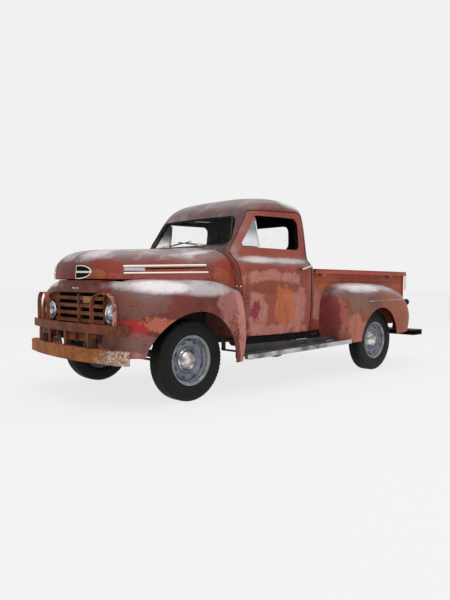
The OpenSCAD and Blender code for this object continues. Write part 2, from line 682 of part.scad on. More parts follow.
module rear_fender() {
    outer = surface_grid(backwards([for (row = rear_fender_net) [for (p = row) p + [rear_x, 0, 0]]]), 3, 4);
    difference() {
        skin_between(outer, inset_grid(outer, -rear_skin));
        side_prism(arch(rear_x + 26, tyre_r - 25, 423, 450, 350), bed_half - 40, fender_half + 60);
        box([rear_x - 1000, 0, 300], [rear_x + 1000, side_y, 1100]);
        side_prism([board_rear + [0, seat_gap], board_rear + [300, seat_gap - 300 * board_slope],
            board_rear + [300, -200], board_rear - [0, 200]], bed_half, fender_half + 60);
    }
}
module rear_fender_left() color("indianred") rear_fender();
module rear_fender_right() color("indianred") mirror([0, 1, 0]) rear_fender();

rail_out = 46;
module bed_sides() color("firebrick") {
    mirrored() difference() {
        bed_side();
        translate([gate_pivot[0], bed_half + 1, gate_pivot[1]]) rotate([90, 0, 0])
            cylinder(r = gate_pin_r + running_fit, h = bed_wall + 2);
    }
}

module bed_side() {
    box([bed_rear_x, bed_w / 2, 525], [bed_front_x, bed_half, bed_top_z - 20]);
    box([bed_rear_x - 20, bed_w / 2, bed_top_z - 50], [bed_front_x, bed_half + rail_out, bed_top_z]);
    for (x = [bed_front_x - 190, bed_rear_x + 330])
        box([x, bed_half - 1, bed_top_z - 78], [x + 70, bed_half + rail_out - 4, bed_top_z - 49]);
    box([bed_rear_x - 14, bed_w / 2 + 4, bed_z - 60], [bed_rear_x + 1, bed_half + 14, bed_top_z - 20]);
}

module bed_front_panel() color("firebrick") {
    box([bed_front_x - bed_wall, -bed_w / 2, bed_z - plank_t], [bed_front_x, bed_w / 2, bed_top_z]);
}

plank_t = 30;
module bed_floor() color("sienna") {
    // The planks end ahead of the tailgate, over a lower rear sill
    gate_room = 30;
    box([bed_rear_x + gate_room, -bed_w / 2, bed_z - plank_t], [bed_front_x - bed_wall, bed_w / 2, bed_z]);
    box([bed_rear_x, -bed_w / 2, bed_z - plank_t], [bed_rear_x + gate_room + 1, bed_w / 2, bed_z - 8]);
    sills = 5;
    for (k = [0:sills - 1]) {
        x = bed_front_x - 150 - (bed_front_x - bed_rear_x - 300) * k / (sills - 1);
        box([x - 40, -bed_w / 2, frame_top], [x + 40, bed_w / 2, bed_z - plank_t + 1]);
    }
}

gate_t = 20;
gate_pin_r = 7;
gate_pivot = [bed_rear_x + 14, bed_z + tailgate_gap + 14];
module tailgate() color("firebrick") {
    half = bed_w / 2 - tailgate_gap;
    box([gate_pivot[0] - gate_t / 2, -half, gate_pivot[1] - gate_t / 2], [gate_pivot[0] + gate_t / 2, half, bed_top_z - 22]);
    translate([gate_pivot[0] - 2, half, bed_top_z - 34]) rotate([90, 0, 0]) cylinder(r = 14, h = 2 * half);
    mirrored() translate([gate_pivot[0], half + 20, gate_pivot[1]]) rotate([90, 0, 0]) cylinder(r = gate_pin_r, h = 30);
}

// Ends of the running board's top, as [x, z]
board_front = [-530, 372];
board_rear = [rear_x + 640, 416];
board_slope = (board_rear[1] - board_front[1]) / (board_front[0] - board_rear[0]);
module running_boards() color("black") {
    front = board_front;
    rear = board_rear;
    mirrored() {
        difference() {
            side_prism([front, rear, rear - [0, 34], front - [0, 34]], cab_half - 30, fender_half - 20);
            side_prism([front - [-1, 6], rear - [1, 6], rear - [1, 35], front - [-1, 35]], cab_half - 24, fender_half - 26);
        }
        side_prism([front - [0, 2], rear + [210, -2], [rear[0] + 210, sill_z - 74], [front[0], sill_z - 74]],
            cab_half - 30, cab_half - 24);
        // Brackets that hang from the frame rails
        for (x = [-800, -1500, rear_x + 950]) {
            box([x - 25, frame_half - 40, 352], [x + 25, cab_half - 29, 364]);
            box([x - 25, frame_half - 40, 352], [x + 25, frame_half - 28, frame_z]);
        }
    }
}

// ---------- chassis ----------

rail_profile = [[front_reach - 190, frame_z + 50], [front_reach - 190, frame_top], [bed_rear_x + 10, frame_top],
    [bed_rear_x + 10, frame_z], [360, frame_z]];

module frame_rails() color("saddlebrown") {
    mirrored() difference() {
        side_prism(rail_profile, frame_half - rail_w, frame_half);
        side_prism([for (p = grown([for (q = rail_profile) [q[0], q[1], 0]], -rail_wall)) [p[0], p[1]]],
            frame_half - rail_w - 1, frame_half - rail_wall);
    }
}

member_xs = [560, -960, cab_rear_x - 40, rear_x + 420, rear_x - 420, bed_rear_x + 60];
module frame_crossmembers() color("saddlebrown") {
    inside = frame_half - rail_w;
    for (x = member_xs) difference() {
        box([x - 40, -inside, frame_z + 35], [x + 40, inside, frame_top]);
        box([x - 34, -inside - 1, frame_z + 34], [x + 34, inside + 1, frame_top - 6]);
    }
}

spring_y = frame_half - rail_w / 2;
king_y = front_track / 2 - 118;
eye_h = 66;

module front_axle() color("dimgray") {
    difference() {
        union() {
            box([-24, -king_y + 20, tyre_r - 25], [24, king_y - 20, tyre_r + 25]);
            mirrored() translate([0, king_y, tyre_r - eye_h / 2]) cylinder(r = 28, h = eye_h);
        }
        mirrored() translate([0, king_y, 0]) cylinder(r = king_pin_r + running_fit, h = 600);
    }
}

// Leaf pack as one stepped arc, shorter towards the axle
module leaf_pack(length, rise) {
    leaf = 9;
    leaves = 4;
    step = 110;
    arc_r = (length * length / 4 + rise * rise) / (2 * rise);
    function at(k, t) = (arc_r + leaf * k) * [sin(t), -cos(t)];
    function reach(k) = asin((length / 2 - step * k) / (arc_r + leaf * k));
    end = [for (k = [1:leaves]) each [at(k, reach(k - 1)), at(k, reach(min(k, leaves - 1)))]];
    translate([0, 26, arc_r]) rotate([90, 0, 0]) linear_extrude(52) polygon(concat(
        [for (a = [-6:6]) at(0, reach(0) * a / 6)],
        [for (k = [0:2 * leaves - 2]) end[k]],
        [for (a = [3:-1:-3]) at(leaves, reach(leaves - 1) * a / 4)],
        [for (k = [2 * leaves - 2:-1:0]) [-end[k][0], end[k][1]]]));
}

module leaf_springs() color("dimgray") {
    for (side = [-1, 1]) {
        // Front pack on the beam, rear pack on the axle tube
        translate([0, side * spring_y, tyre_r + 25 + 36]) leaf_pack(900, frame_z - tyre_r - 25 - 36 - 0.5);
        translate([rear_x, side * spring_y, tyre_r + 40 + 36]) leaf_pack(1180, frame_z - tyre_r - 40 - 36 - 0.5);
    }
}

axle_tube_r = 40;
module rear_axle() color("dimgray") {
    translate([rear_x, 0, tyre_r]) {
        rotate([90, 0, 0]) cylinder(r = axle_tube_r, h = rear_track - 190, center = true);
        sphere(r = 125);
        translate([0, 0, 0]) rotate([0, 90, 0]) cylinder(r = 55, h = 190);
        mirrored() translate([0, rear_track / 2 - 100, 0]) rotate([-90, 0, 0]) {
            cylinder(r = 145, h = 6);
            cylinder(r = spindle_r, h = 122);
        }
    }
}

module driveshaft() color("dimgray") {
    rod([-901.5, 0, 440], [rear_x + 191.5, 0, tyre_r + 3], 32);
}

module engine() color("darkslategray") {
    box([-400, -200, 485], [300, 200, 1040]);
    box([-700, -130, 420], [-399, 130, 600]);
    box([-899, -80, 400], [-699, 80, 560]);
    box([-60, -frame_half + rail_wall, frame_z + 45], [-10, frame_half - rail_wall, frame_z + 85]);
}

module radiator() color("darkslategray") {
    box([425, -300, frame_top + 10], [495, 300, 1030]);
    box([420, -360, frame_top], [500, 360, frame_top + 11]);
}

module fuel_tank() color("dimgray") {
    box([cab_rear_x - 520, -320, frame_z - 85], [cab_rear_x - 110, -60, frame_z + 130]);
    box([cab_rear_x - 420, rail_wall - frame_half, frame_top - 60], [cab_rear_x - 380, -310, frame_top - 20]);
}

module exhaust() color("sienna") {
    y = 200;
    rod([-250, y, 450], [-1100, y, 430], 24);
    rod([-1099, y, 430], [-1700, y, 430], 70);
    rod([-1699, y, 430], [rear_x + 330, y, 430], 24);
    box([-1420, y - 8, 480], [-1400, y + 8, frame_z + 60]);
    box([-1420, y, frame_z + 52], [-1400, frame_half - rail_wall, frame_z + 60]);
}

// ---------- wheels and steering ----------

// Wheel about +Y, outer side towards +Y, origin at its centre
module wheel() {
    rotate([-90, 0, 0]) difference() {
        union() {
            rotate_extrude() polygon([
                [bead_r + 18, 70], [bead_r + 18, 64], [bead_r, 58], [bead_r, 30], [bead_r - 16, 12], [bead_r - 16, -12],
                [bead_r, -30], [bead_r, -58], [bead_r + 18, -64], [bead_r + 18, -70], [bead_r + 8, -70], [bead_r - 7, -60],
                [bead_r - 7, -28], [bead_r - 23, -12], [bead_r - 23, 8], [bead_r - 34, 20], [bead_r - 70, 22], [hub_cap_r + 4, 6],
                [40, 6], [40, 14], [hub_cap_r, 14], [bead_r - 68, 31], [bead_r - 30, 29], [bead_r - 14, 16], [bead_r - 7, 28],
                [bead_r - 7, 60], [bead_r + 8, 70]
            ]);
            translate([0, 0, -70]) cylinder(r = 44, h = 100);
            // Brake drum, open towards the axle
            difference() {
                translate([0, 0, -68]) cylinder(r = 150, h = 75);
                translate([0, 0, -69]) cylinder(r = 142, h = 66);
            }
            translate([0, 0, -68]) cylinder(r = 44, h = 80);
            // Hub cap: a low dome
            intersection() {
                translate([0, 0, 13]) cylinder(r = hub_cap_r, h = 60);
                translate([0, 0, 62 - 132]) sphere(r = 132);
            }
        }
        translate([0, 0, -71]) cylinder(r = spindle_r + running_fit, h = 100);
        // Hand slots near the rim
        for (a = [0:45:315]) rotate(a + 22.5) translate([bead_r - 50, -18, 0]) cube([9, 36, 60]);
    }
}

module tyre() {
    shoulder = 22;
    rotate([-90, 0, 0]) rotate_extrude() polygon(rounded([
        [bead_r, -58, 0], [bead_r + 20, -64 - seat_gap, 0], [bead_r + 60, -tyre_w / 2, 40], [tyre_r - shoulder, -tyre_w / 2 + 6, 22],
        [tyre_r, -tyre_w / 2 + 26, 8], [tyre_r, tyre_w / 2 - 26, 8], [tyre_r - shoulder, tyre_w / 2 - 6, 22],
        [bead_r + 60, tyre_w / 2, 40], [bead_r + 20, 64 + seat_gap, 0], [bead_r, 58, 0], [bead_r + 0.01, 0, 0]
    ]));
}

module at_wheel(x, y, side) {
    translate([x, side * y, tyre_r]) if (side > 0) children(); else mirror([0, 1, 0]) children();
}

module wheel_front_left() color("silver") at_wheel(0, front_track / 2, 1) wheel();
module wheel_front_right() color("silver") at_wheel(0, front_track / 2, -1) wheel();
module wheel_rear_left() color("silver") at_wheel(rear_x, rear_track / 2, 1) wheel();
module wheel_rear_right() color("silver") at_wheel(rear_x, rear_track / 2, -1) wheel();
module tyre_front_left() color("#222222") at_wheel(0, front_track / 2, 1) tyre();
module tyre_front_right() color("#222222") at_wheel(0, front_track / 2, -1) tyre();
module tyre_rear_left() color("#222222") at_wheel(rear_x, rear_track / 2, 1) tyre();
module tyre_rear_right() color("#222222") at_wheel(rear_x, rear_track / 2, -1) tyre();

arm_l = 150;
arm_z = tyre_r - 62;
pin_l = eye_h + 50;
module knuckle() {
    inner = king_y - front_track / 2;
    translate([0, front_track / 2, tyre_r]) {
        rotate([-90, 0, 0]) translate([0, 0, -78]) cylinder(r = spindle_r, h = 100);
        rotate([-90, 0, 0]) translate([0, 0, -80]) cylinder(r = 140, h = 6);
        box([-30, inner + 34, -60], [30, -74, 60]);
        for (z = [eye_h / 2 + 2, -eye_h / 2 - 22]) hull() {
            translate([0, inner, z]) cylinder(r = 26, h = 20, $fn = 32);
            box([-26, inner + 34, z], [26, inner + 42, z + 20]);
        }
        translate([0, inner, -pin_l / 2]) cylinder(r = king_pin_r, h = pin_l);
        box([-arm_l - 14, inner - 14, -eye_h / 2 - 36], [10, inner + 14, -eye_h / 2 - 21]);
    }
}
module knuckle_left() color("dimgray") knuckle();
module knuckle_right() color("dimgray") mirror([0, 1, 0]) knuckle();

module tie_rod() color("dimgray") {
    z = tyre_r - eye_h / 2 - 36;
    rod([-arm_l, -king_y, z - 16], [-arm_l, king_y, z - 16], 12);
    for (y = [-king_y, king_y]) translate([-arm_l, y, z - 22]) cylinder(r = 14, h = 21.5);
}

column_low = [-cowl_x - 130, 370, 820];
column_top = [-cowl_x - 500, 370, 1150];
column_v = unit(column_top - column_low);
column_tilt = atan2(column_v[0], column_v[2]);
module steering_column() color("black") {
    rod(column_low, column_top, 22);
    box([column_low[0] - 14, 356, floor_z + floor_t], [column_low[0] + 14, 384, column_low[2] + 10]);
}
module steering_wheel() color("black") {
    translate(column_top + column_v * 0.5) rotate([0, column_tilt, 0]) {
        cylinder(r = 34, h = 30);
        translate([0, 0, 30]) rotate_extrude() translate([200, 0]) circle(r = 11);
        for (a = [90, 210, 330]) rotate(a) translate([20, -7, 20]) cube([172, 14, 12]);
    }
}

module dashboard() color("firebrick") {
    x = -cowl_x - 60;
    profile = [[x - 150, belt_z + 45], [x + 60, belt_z + 60], [x + 60, belt_z + 45], [x - 135, belt_z + 30], [x - 165, belt_z - 150], [x - 180, belt_z - 150]];
    half = door_reach_y - 12;
    // The cowl's inner face is flat between its ring points, which leaves this much more room
    facet_room = 1.5;
    front = -cowl_x - cab_value(inner_level(belt_z + 60), 1) - cab_wall - seat_gap + facet_room;
    intersection() {
        side_prism(profile, -half, half);
        linear_extrude(roof_z) polygon(concat([[x - 200, -half - 1], [x - 200, half + 1]],
            [for (k = [12:-1:-12]) let (y = half * k / 12) [front - front_sweep(y), y]]));
    }
}

module seat_cushion() color("tan") {
    base = floor_z + floor_t;
    side_prism(rounded([[cab_rear_x + 165, base + 110, 20], [cab_rear_x + 165, base + 270, 50], [cab_rear_x + 655, base + 310, 60], [cab_rear_x + 655, base + 110, 20]]), -610, 610);
    box([cab_rear_x + 190, -560, base], [cab_rear_x + 620, 560, base + 111]);
}

module seat_back() color("tan") {
    base = floor_z + floor_t + 260;
    side_prism(rounded([[cab_rear_x + 125, base, 30], [cab_rear_x + 59.3, base + 490, 40], [cab_rear_x + 165, base + 500, 50], [cab_rear_x + 250, base + 20, 40]]), -610, 610);
}

// ---------- bumpers and lamps ----------

bumper_centre = front_reach - bumper_r;
module bent_bar(r, half, z, h, depth) {
    sweep = asin(half / r);
    translate([bumper_centre, 0, z]) rotate([0, 0, -sweep])
        rotate_extrude(angle = 2 * sweep, $fn = 256) translate([r - depth, 0]) square([depth, h]);
}

module front_bumper() color("chocolate") {
    difference() {
        bent_bar(bumper_r, bumper_half, bumper_z, bumper_h, 76);
        bent_bar(bumper_r - 8, bumper_half + 20, bumper_z + 8, bumper_h - 16, 90);
    }
    mirrored() {
        box([front_reach - 190, frame_half - 12, frame_z + 50], [front_reach - 110, frame_half, frame_top]);
        box([front_reach - 130, frame_half - 12, bumper_z + 24], [front_reach - 34, frame_half, frame_z + 90]);
    }
}

guard_back = 62;
module hoop(y0, y1) {
    r = 80;
    x = bumper_r - guard_back - 6;
    for (y = [y0, y1]) rod([x, y, guard_z + guard_h - 12], [x, y, hoop_z - r], hoop_r);
    rod([x, y0 + r, hoop_z], [x, y1 - r, hoop_z], hoop_r);
    for (k = [0, 1]) translate([x, k == 0 ? y0 + r : y1 - r, hoop_z - r]) rotate([0, -90, 0]) rotate([0, 0, k == 0 ? -90 : 0])
        rotate_extrude(angle = 90) translate([r, 0]) circle(r = hoop_r);
}

post_ys = [-560, -458, -319, 0, 340, 640];
module brush_guard() color("sienna") {
    bent_bar(bumper_r - guard_back, bumper_half - 4, guard_z, guard_h, 12);
    for (y = post_ys) {
        x = bumper_centre + sqrt(pow(bumper_r - guard_back, 2) - y * y);
        box([x - 11.5, y - 18, bumper_z + bumper_h], [x - 1, y + 18, guard_z + 20]);
    }
    turn = asin(520 / (bumper_r - guard_back));
    mirrored() translate([bumper_centre, 0, 0]) rotate([0, 0, turn]) hoop(-105, 105);
}

hitch_hole_r = 13;
module rear_bumper() color("saddlebrown") {
    back = rear_x - rear_reach;
    difference() {
        union() {
            box([back, -800, 358], [back + 230, 800, 366]);
            box([back, -800, 358], [back + 8, 800, 428]);
            box([back, -800, 420], [back + 230, 800, 428]);
        }
        translate([back + 90, 0, 300]) cylinder(r = hitch_hole_r, h = 200);
    }
    for (side = [-1, 1])
        box([back + 7, side * (frame_half - 30) - 10, 366], [bed_rear_x + 120, side * (frame_half - 30) + 10, 420]);
    for (side = [-1, 1])
        box([bed_rear_x + 20, side * (frame_half - 30) - 10, 419], [bed_rear_x + 120, side * (frame_half - 30) + 10, frame_z]);
}

module tail_lamp() color("darkred") {
    translate([bed_rear_x + 60, bed_half, 800]) {
        box([-58, 0, -20], [-48, 75, 20]);
        translate([-86, 60, 0]) rotate([0, 90, 0]) cylinder(r = 42, h = 29);
    }
}

module placed() {
    translate([front_axle_x, 0, 0]) children();
}

placed() frame_rails();
placed() frame_crossmembers();
placed() front_axle();
placed() rear_axle();
placed() leaf_springs();
placed() knuckle_left();
placed() knuckle_right();
placed() tie_rod();
placed() wheel_front_left();
placed() wheel_front_right();
placed() wheel_rear_left();
placed() wheel_rear_right();
placed() tyre_front_left();
placed() tyre_front_right();
placed() tyre_rear_left();
placed() tyre_rear_right();
placed() driveshaft();
placed() engine();
placed() radiator();
placed() fuel_tank();
placed() exhaust();
placed() front_bumper();
placed() brush_guard();
placed() grille();
placed() front_apron();
placed() headlamps();
placed() front_fender_left();
placed() front_fender_right();
placed() inner_fenders();
placed() hood();
placed() cowl();
placed() cab_roof();
placed() cab_back();
placed() cab_floor();
placed() cab_glass();
placed() door_left();
placed() door_right();
placed() vent_window_left();
placed() vent_window_right();
placed() dashboard();
placed() steering_column();
placed() steering_wheel();
placed() seat_cushion();
placed() seat_back();
placed() running_boards();
placed() bed_floor();
placed() bed_sides();
placed() bed_front_panel();
placed() tailgate();
placed() rear_fender_left();
placed() rear_fender_right();
placed() rear_bumper();
placed() tail_lamp();
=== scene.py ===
"""Looks of a weathered late-1940s half-ton pickup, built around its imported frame. Metres throughout."""
import json
import math
from math import cos, pi, radians, sin, sqrt

import bpy
from mathutils import Matrix, Vector
from mathutils.bvhtree import BVHTree

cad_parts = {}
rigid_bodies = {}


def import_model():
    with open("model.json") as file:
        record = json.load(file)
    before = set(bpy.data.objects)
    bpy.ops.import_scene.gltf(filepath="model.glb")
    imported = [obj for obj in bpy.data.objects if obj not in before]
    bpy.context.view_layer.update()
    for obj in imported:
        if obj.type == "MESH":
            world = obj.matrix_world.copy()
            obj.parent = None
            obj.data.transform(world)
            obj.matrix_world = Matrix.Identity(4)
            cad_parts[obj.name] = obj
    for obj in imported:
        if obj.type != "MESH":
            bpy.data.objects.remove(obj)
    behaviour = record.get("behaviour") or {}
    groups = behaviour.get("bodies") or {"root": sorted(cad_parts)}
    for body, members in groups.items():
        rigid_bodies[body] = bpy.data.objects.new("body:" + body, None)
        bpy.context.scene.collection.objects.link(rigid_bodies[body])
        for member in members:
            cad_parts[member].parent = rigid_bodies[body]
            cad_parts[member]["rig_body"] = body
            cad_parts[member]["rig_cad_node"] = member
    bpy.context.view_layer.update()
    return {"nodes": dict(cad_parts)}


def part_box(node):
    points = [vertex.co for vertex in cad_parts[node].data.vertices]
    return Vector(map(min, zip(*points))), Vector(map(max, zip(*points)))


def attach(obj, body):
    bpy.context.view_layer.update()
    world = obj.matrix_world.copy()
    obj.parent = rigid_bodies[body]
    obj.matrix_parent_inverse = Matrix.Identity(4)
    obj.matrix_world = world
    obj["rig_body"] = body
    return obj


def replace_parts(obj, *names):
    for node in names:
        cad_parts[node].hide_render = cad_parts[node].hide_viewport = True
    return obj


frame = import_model()
nodes = frame["nodes"]
scene = bpy.context.scene


# ---------- places taken from the frame ----------

def middle(node):
    low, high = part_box(node)
    return (low + high) / 2


FRONT_AXLE = middle("tyre_front_left")
REAR_AXLE = middle("tyre_rear_left")
TYRE_R = FRONT_AXLE.z
WHEELS = {
    "front_left": (FRONT_AXLE, 1), "front_right": (FRONT_AXLE, -1),
    "rear_left": (REAR_AXLE, 1), "rear_right": (REAR_AXLE, -1),
}
SIDES = ((1, "left"), (-1, "right"))
CAB_MIDDLE = Vector((middle("cab_roof").x, 0, 1.15))


# ---------- shader maths ----------

class Value:
    """A value in a finish, so that shader maths reads as arithmetic."""

    def __init__(self, finish, socket):
        self.finish, self.socket = finish, socket

    def math(self, operation, *values):
        return self.finish.node("ShaderNodeMath", {"operation": operation}, dict(enumerate(values)))

    def __add__(self, other):
        return self.math("ADD", self, other)

    def __sub__(self, other):
        return self.math("SUBTRACT", self, other)

    def __rsub__(self, other):
        return self.math("SUBTRACT", other, self)

    def __mul__(self, other):
        return self.math("MULTIPLY", self, other)

    def __truediv__(self, other):
        return self.math("DIVIDE", self, other)

    __radd__ = __add__
    __rmul__ = __mul__


def tone(red, green, blue):
    """A paint colour given on the usual 0 to 255 scale."""
    def linear(part):
        part /= 255
        return part / 12.92 if part < 0.04045 else ((part + 0.055) / 1.055) ** 2.4
    return linear(red), linear(green), linear(blue), 1


class Finish:
    """A material that is built up from nodes."""

    def __init__(self, name, **constants):
        self.material = bpy.data.materials.new(name)
        self.material.use_nodes = True
        self.tree = self.material.node_tree
        self.shader = self.tree.nodes["Principled BSDF"]
        for socket, value in constants.items():
            self.shader.inputs[socket.replace("_", " ")].default_value = value
        coordinates = self.node("ShaderNodeTexCoord", {}, {}, "Object")
        self.place = coordinates
        self.normal = Value(self, coordinates.socket.node.outputs["Normal"])
        self.x, self.y, self.z = self.parts(self.place)
        self.up = self.parts(self.normal)[2]

    def node(self, kind, settings, values, out=0):
        made = self.tree.nodes.new(kind)
        for name, value in settings.items():
            setattr(made, name, value)
        for name, value in values.items():
            if isinstance(value, Value):
                self.tree.links.new(value.socket, made.inputs[name])
            else:
                made.inputs[name].default_value = value
        return Value(self, made.outputs[out])

    def parts(self, vector):
        first = self.node("ShaderNodeSeparateXYZ", {}, {0: vector})
        return [Value(self, socket) for socket in first.socket.node.outputs]

    def stretched(self, scale, shift=(0, 0, 0)):
        return self.node("ShaderNodeMapping", {}, {"Vector": self.place, "Scale": scale, "Location": shift})

    def noise(self, scale, detail=5, roughness=0.6, place=None):
        return self.node("ShaderNodeTexNoise", {}, {
            "Vector": place or self.place, "Scale": scale, "Detail": detail, "Roughness": roughness})

    def step(self, value, low, high):
        return self.node("ShaderNodeMapRange", {"interpolation_type": "SMOOTHSTEP"}, {
            "Value": value, "From Min": min(low, high), "From Max": max(low, high),
            "To Min": 0 if high > low else 1, "To Max": 1 if high > low else 0})

    def mix(self, factor, first, second):
        return self.node("ShaderNodeMix", {"data_type": "RGBA"}, {0: factor, 6: first, 7: second}, 2)

    def spot(self, x, z, reach_x, reach_z, edge, ragged=0.8):
        """1 inside an oval seen from the side, with a ragged edge."""
        across, up = (self.x - x) / reach_x, (self.z - z) / reach_z
        return self.step(across * across + up * up + (edge - 0.5) * ragged * 7, 1.35, 0.75)

    def feed(self, **values):
        for socket, value in values.items():
            target = self.shader.inputs[socket.replace("_", " ")]
            if isinstance(value, Value):
                self.tree.links.new(value.socket, target)
            else:
                target.default_value = value
        return self.material

    def bump(self, height, strength, distance=0.004):
        return self.node("ShaderNodeBump", {}, {"Strength": strength, "Distance": distance, "Height": height})


RUST_RED, DARK_RED, DEEP = tone(140, 58, 46), tone(96, 44, 38), tone(52, 28, 25)
BROWN, ORANGE = tone(128, 66, 48), tone(168, 92, 54)
SALMON, PINK, MAGENTA = tone(184, 124, 112), tone(200, 132, 124), tone(132, 42, 62)
# The white on this line is for painted highlights.
BRIGHT_RED, PLUM, HIGHLIGHT_WHITE = tone(178, 44, 44), tone(92, 70, 74), tone(228, 222, 224)
GREY_PINK = tone(132, 100, 94)


def old_paint(name, base=RUST_RED, second=DARK_RED, patches=(), crown=0.55, sky_highlight=0.3, rust=0.5, gleams=(),
              plum=(tone(96, 74, 78), tone(126, 86, 84)), speckle=0.45):
    """Worn paint: patches seen from the side, plum where the metal faces the sky with painted sky highlights on it,
    painted highlight spots, and rust.
    """
    f = Finish(name, Coat_Roughness=0.22, Specular_IOR_Level=0.2)
    broad, blotch = f.noise(2.3, 4, 0.55), f.noise(8.5, 8, 0.64)
    fine = f.noise(75, 4, 0.65)
    runs = f.noise(1, 6, 0.62, f.stretched((15, 15, 3.6)))
    edge = blotch * 0.7 + fine * 0.3
    colour = f.mix(f.step(broad, 0.40, 0.62), base, second)
    colour = f.mix(f.step(blotch, 0.50, 0.66) * rust, colour, BROWN)
    for x, z, reach_x, reach_z, paint, strength, ragged in patches:
        place = f.spot(x, z, reach_x, reach_z, edge, ragged)
        colour = f.mix(place * strength, colour, f.mix(f.step(runs, 0.42, 0.72) * 0.28, paint, second))
    colour = f.mix(f.step(runs, 0.57, 0.76) * 0.35, colour, DARK_RED)
    sky = f.step(f.up + (broad - 0.5) * 0.5, crown, crown + 0.32)
    clouds = f.noise(1, 4, 0.55, f.stretched((2.6, 6, 6), (3, 1, 2)))
    colour = f.mix(sky * 0.88, colour, f.mix(f.step(blotch, 0.42, 0.64), *plum))
    # Painted highlight: white clouds on faces that look at the sky stand for the sky's reflection.
    colour = f.mix(f.step(clouds, 0.46, 0.66) * sky * sky_highlight, colour, HIGHLIGHT_WHITE)
    # Painted highlights: a soft white spot at each place in gleams.
    for x, z, reach_x, reach_z, strength in gleams:
        across, high = (f.x - x) / reach_x, (f.z - z) / reach_z
        soft = f.step(across * across + high * high + (clouds - 0.5) * 2.2 + (blotch - 0.5) * 1.2, 1.7, 0.0)
        colour = f.mix(soft * strength, colour, HIGHLIGHT_WHITE)
    flecks, scale_rust = f.noise(30, 7, 0.75), f.noise(4.2, 5, 0.6, f.stretched((1, 1, 1.6), (5, 2, 7)))
    worn = f.step(flecks + (scale_rust - 0.5) * 0.9, 0.55, 0.68) * speckle
    colour = f.mix(worn * (1 - sky * 0.6), colour, f.mix(f.step(fine, 0.42, 0.6), tone(150, 82, 52),
                                                         tone(92, 44, 38)))
    colour = f.mix(f.step(fine, 0.58, 0.70) * 0.38, colour, DEEP)
    colour = f.mix(f.step(blotch + (fine - 0.5) * 0.4, 0.66, 0.74) * 0.6, colour, DEEP)
    height = blotch * 0.5 + fine * 0.35 + broad
    return f.feed(
        Base_Color=colour, Roughness=0.52 + (blotch - 0.5) * 0.4 - sky * 0.16,
        Coat_Weight=sky * 0.35 + 0.04, Normal=f.bump(height, 0.32))


def rusty(name, base=BROWN, bright=ORANGE, dark=DEEP, pale=None, pale_from=0.0, metallic=0.15):
    """Pitted rusty steel, with pale marks beyond a place along Y when a pale tone is given: left plating on the
    bumper, a painted highlight on the left lamp hoop.
    """
    f = Finish(name, Specular_IOR_Level=0.3)
    blotch, fine, pits = f.noise(7, 8, 0.66), f.noise(48, 6, 0.7), f.noise(160, 3, 0.6)
    colour = f.mix(f.step(blotch, 0.38, 0.60), base, bright)
    colour = f.mix(f.step(fine, 0.52, 0.66) * 0.75, colour, dark)
    rough = 0.72 + (fine - 0.5) * 0.4
    if pale:
        left = f.step(f.y + (blotch - 0.5) * 0.5, pale_from, pale_from + 0.12)
        pale_marks = left * f.step(fine + (pits - 0.5) * 0.5, 0.56, 0.44)
        colour = f.mix(pale_marks, colour, pale)
        rough = rough - pale_marks * 0.35
    return f.feed(Base_Color=colour, Roughness=rough, Metallic=metallic,
                  Normal=f.bump(blotch * 0.6 + fine * 0.7 + pits * 0.4, 0.55))


def dull(name, base, dark, roughness=0.6, scale=12, strength=0.25, metallic=0.0, specular=0.4):
    """A worn plain finish with blotches and fine grain."""
    f = Finish(name, Specular_IOR_Level=specular)
    blotch, fine = f.noise(scale, 6, 0.62), f.noise(scale * 9, 4, 0.6)
    colour = f.mix(f.step(blotch, 0.38, 0.66), base, dark)
    colour = f.mix(f.step(fine, 0.56, 0.72) * 0.4, colour, dark)
    return f.feed(Base_Color=colour, Roughness=roughness + (blotch - 0.5) * 0.3, Metallic=metallic,
                  Normal=f.bump(blotch * 0.4 + fine * 0.6, strength, 0.002))


def plated(name, base=tone(206, 205, 204), dirt=tone(96, 74, 60), roughness=0.16, spread=0.62):
    """Old chrome with haze and freckles of rust."""
    f = Finish(name)
    blotch, fine = f.noise(16, 6, 0.6), f.noise(190, 4, 0.7)
    spots = f.step(fine * 0.6 + blotch * 0.4, spread - 0.06, spread + 0.04)
    return f.feed(Base_Color=f.mix(spots * 0.8, base, dirt), Metallic=1 - spots * 0.7,
                  Roughness=roughness + blotch * 0.14 + spots * 0.4, Normal=f.bump(blotch, 0.12, 0.002))


def glazed(name, base, alpha, grime=0.1, upper=0.0, low=0, high=1, specular=0.2):
    """Old glass: nearly clear, with some grime, and more opaque above a height."""
    f = Finish(name, Roughness=0.05, Specular_IOR_Level=specular)
    film = f.noise(14, 6, 0.65)
    hazy = f.step(film, 0.45, 0.75) * grime + f.step(f.z + (film - 0.5) * 0.05, low, high) * upper
    return f.feed(Base_Color=f.mix(film, base, tone(150, 152, 150)), Alpha=alpha + hazy)


def mirror_bright(name, dark, mid, bright, roughness=0.1):
    """Plated metal or silvered glass with broad dark and bright bands of painted reflection."""
    f = Finish(name, Metallic=0.75, Coat_Roughness=0.05, Specular_IOR_Level=0.6)
    reflection_bands, haze = f.noise(1, 4, 0.55, f.stretched((9, 9, 17))), f.noise(60, 5, 0.65)
    colour = f.mix(f.step(reflection_bands, 0.40, 0.52), dark, mid)
    colour = f.mix(f.step(reflection_bands, 0.53, 0.60), colour, bright)
    # Brown haze: tarnish, and also a painted reflection of the ground.
    colour = f.mix(f.step(haze, 0.56, 0.70) * 0.5, colour, tone(120, 92, 68))
    return f.feed(Base_Color=colour, Roughness=roughness + haze * 0.15, Coat_Weight=0.5,
                  Normal=f.bump(haze, 0.08, 0.001))


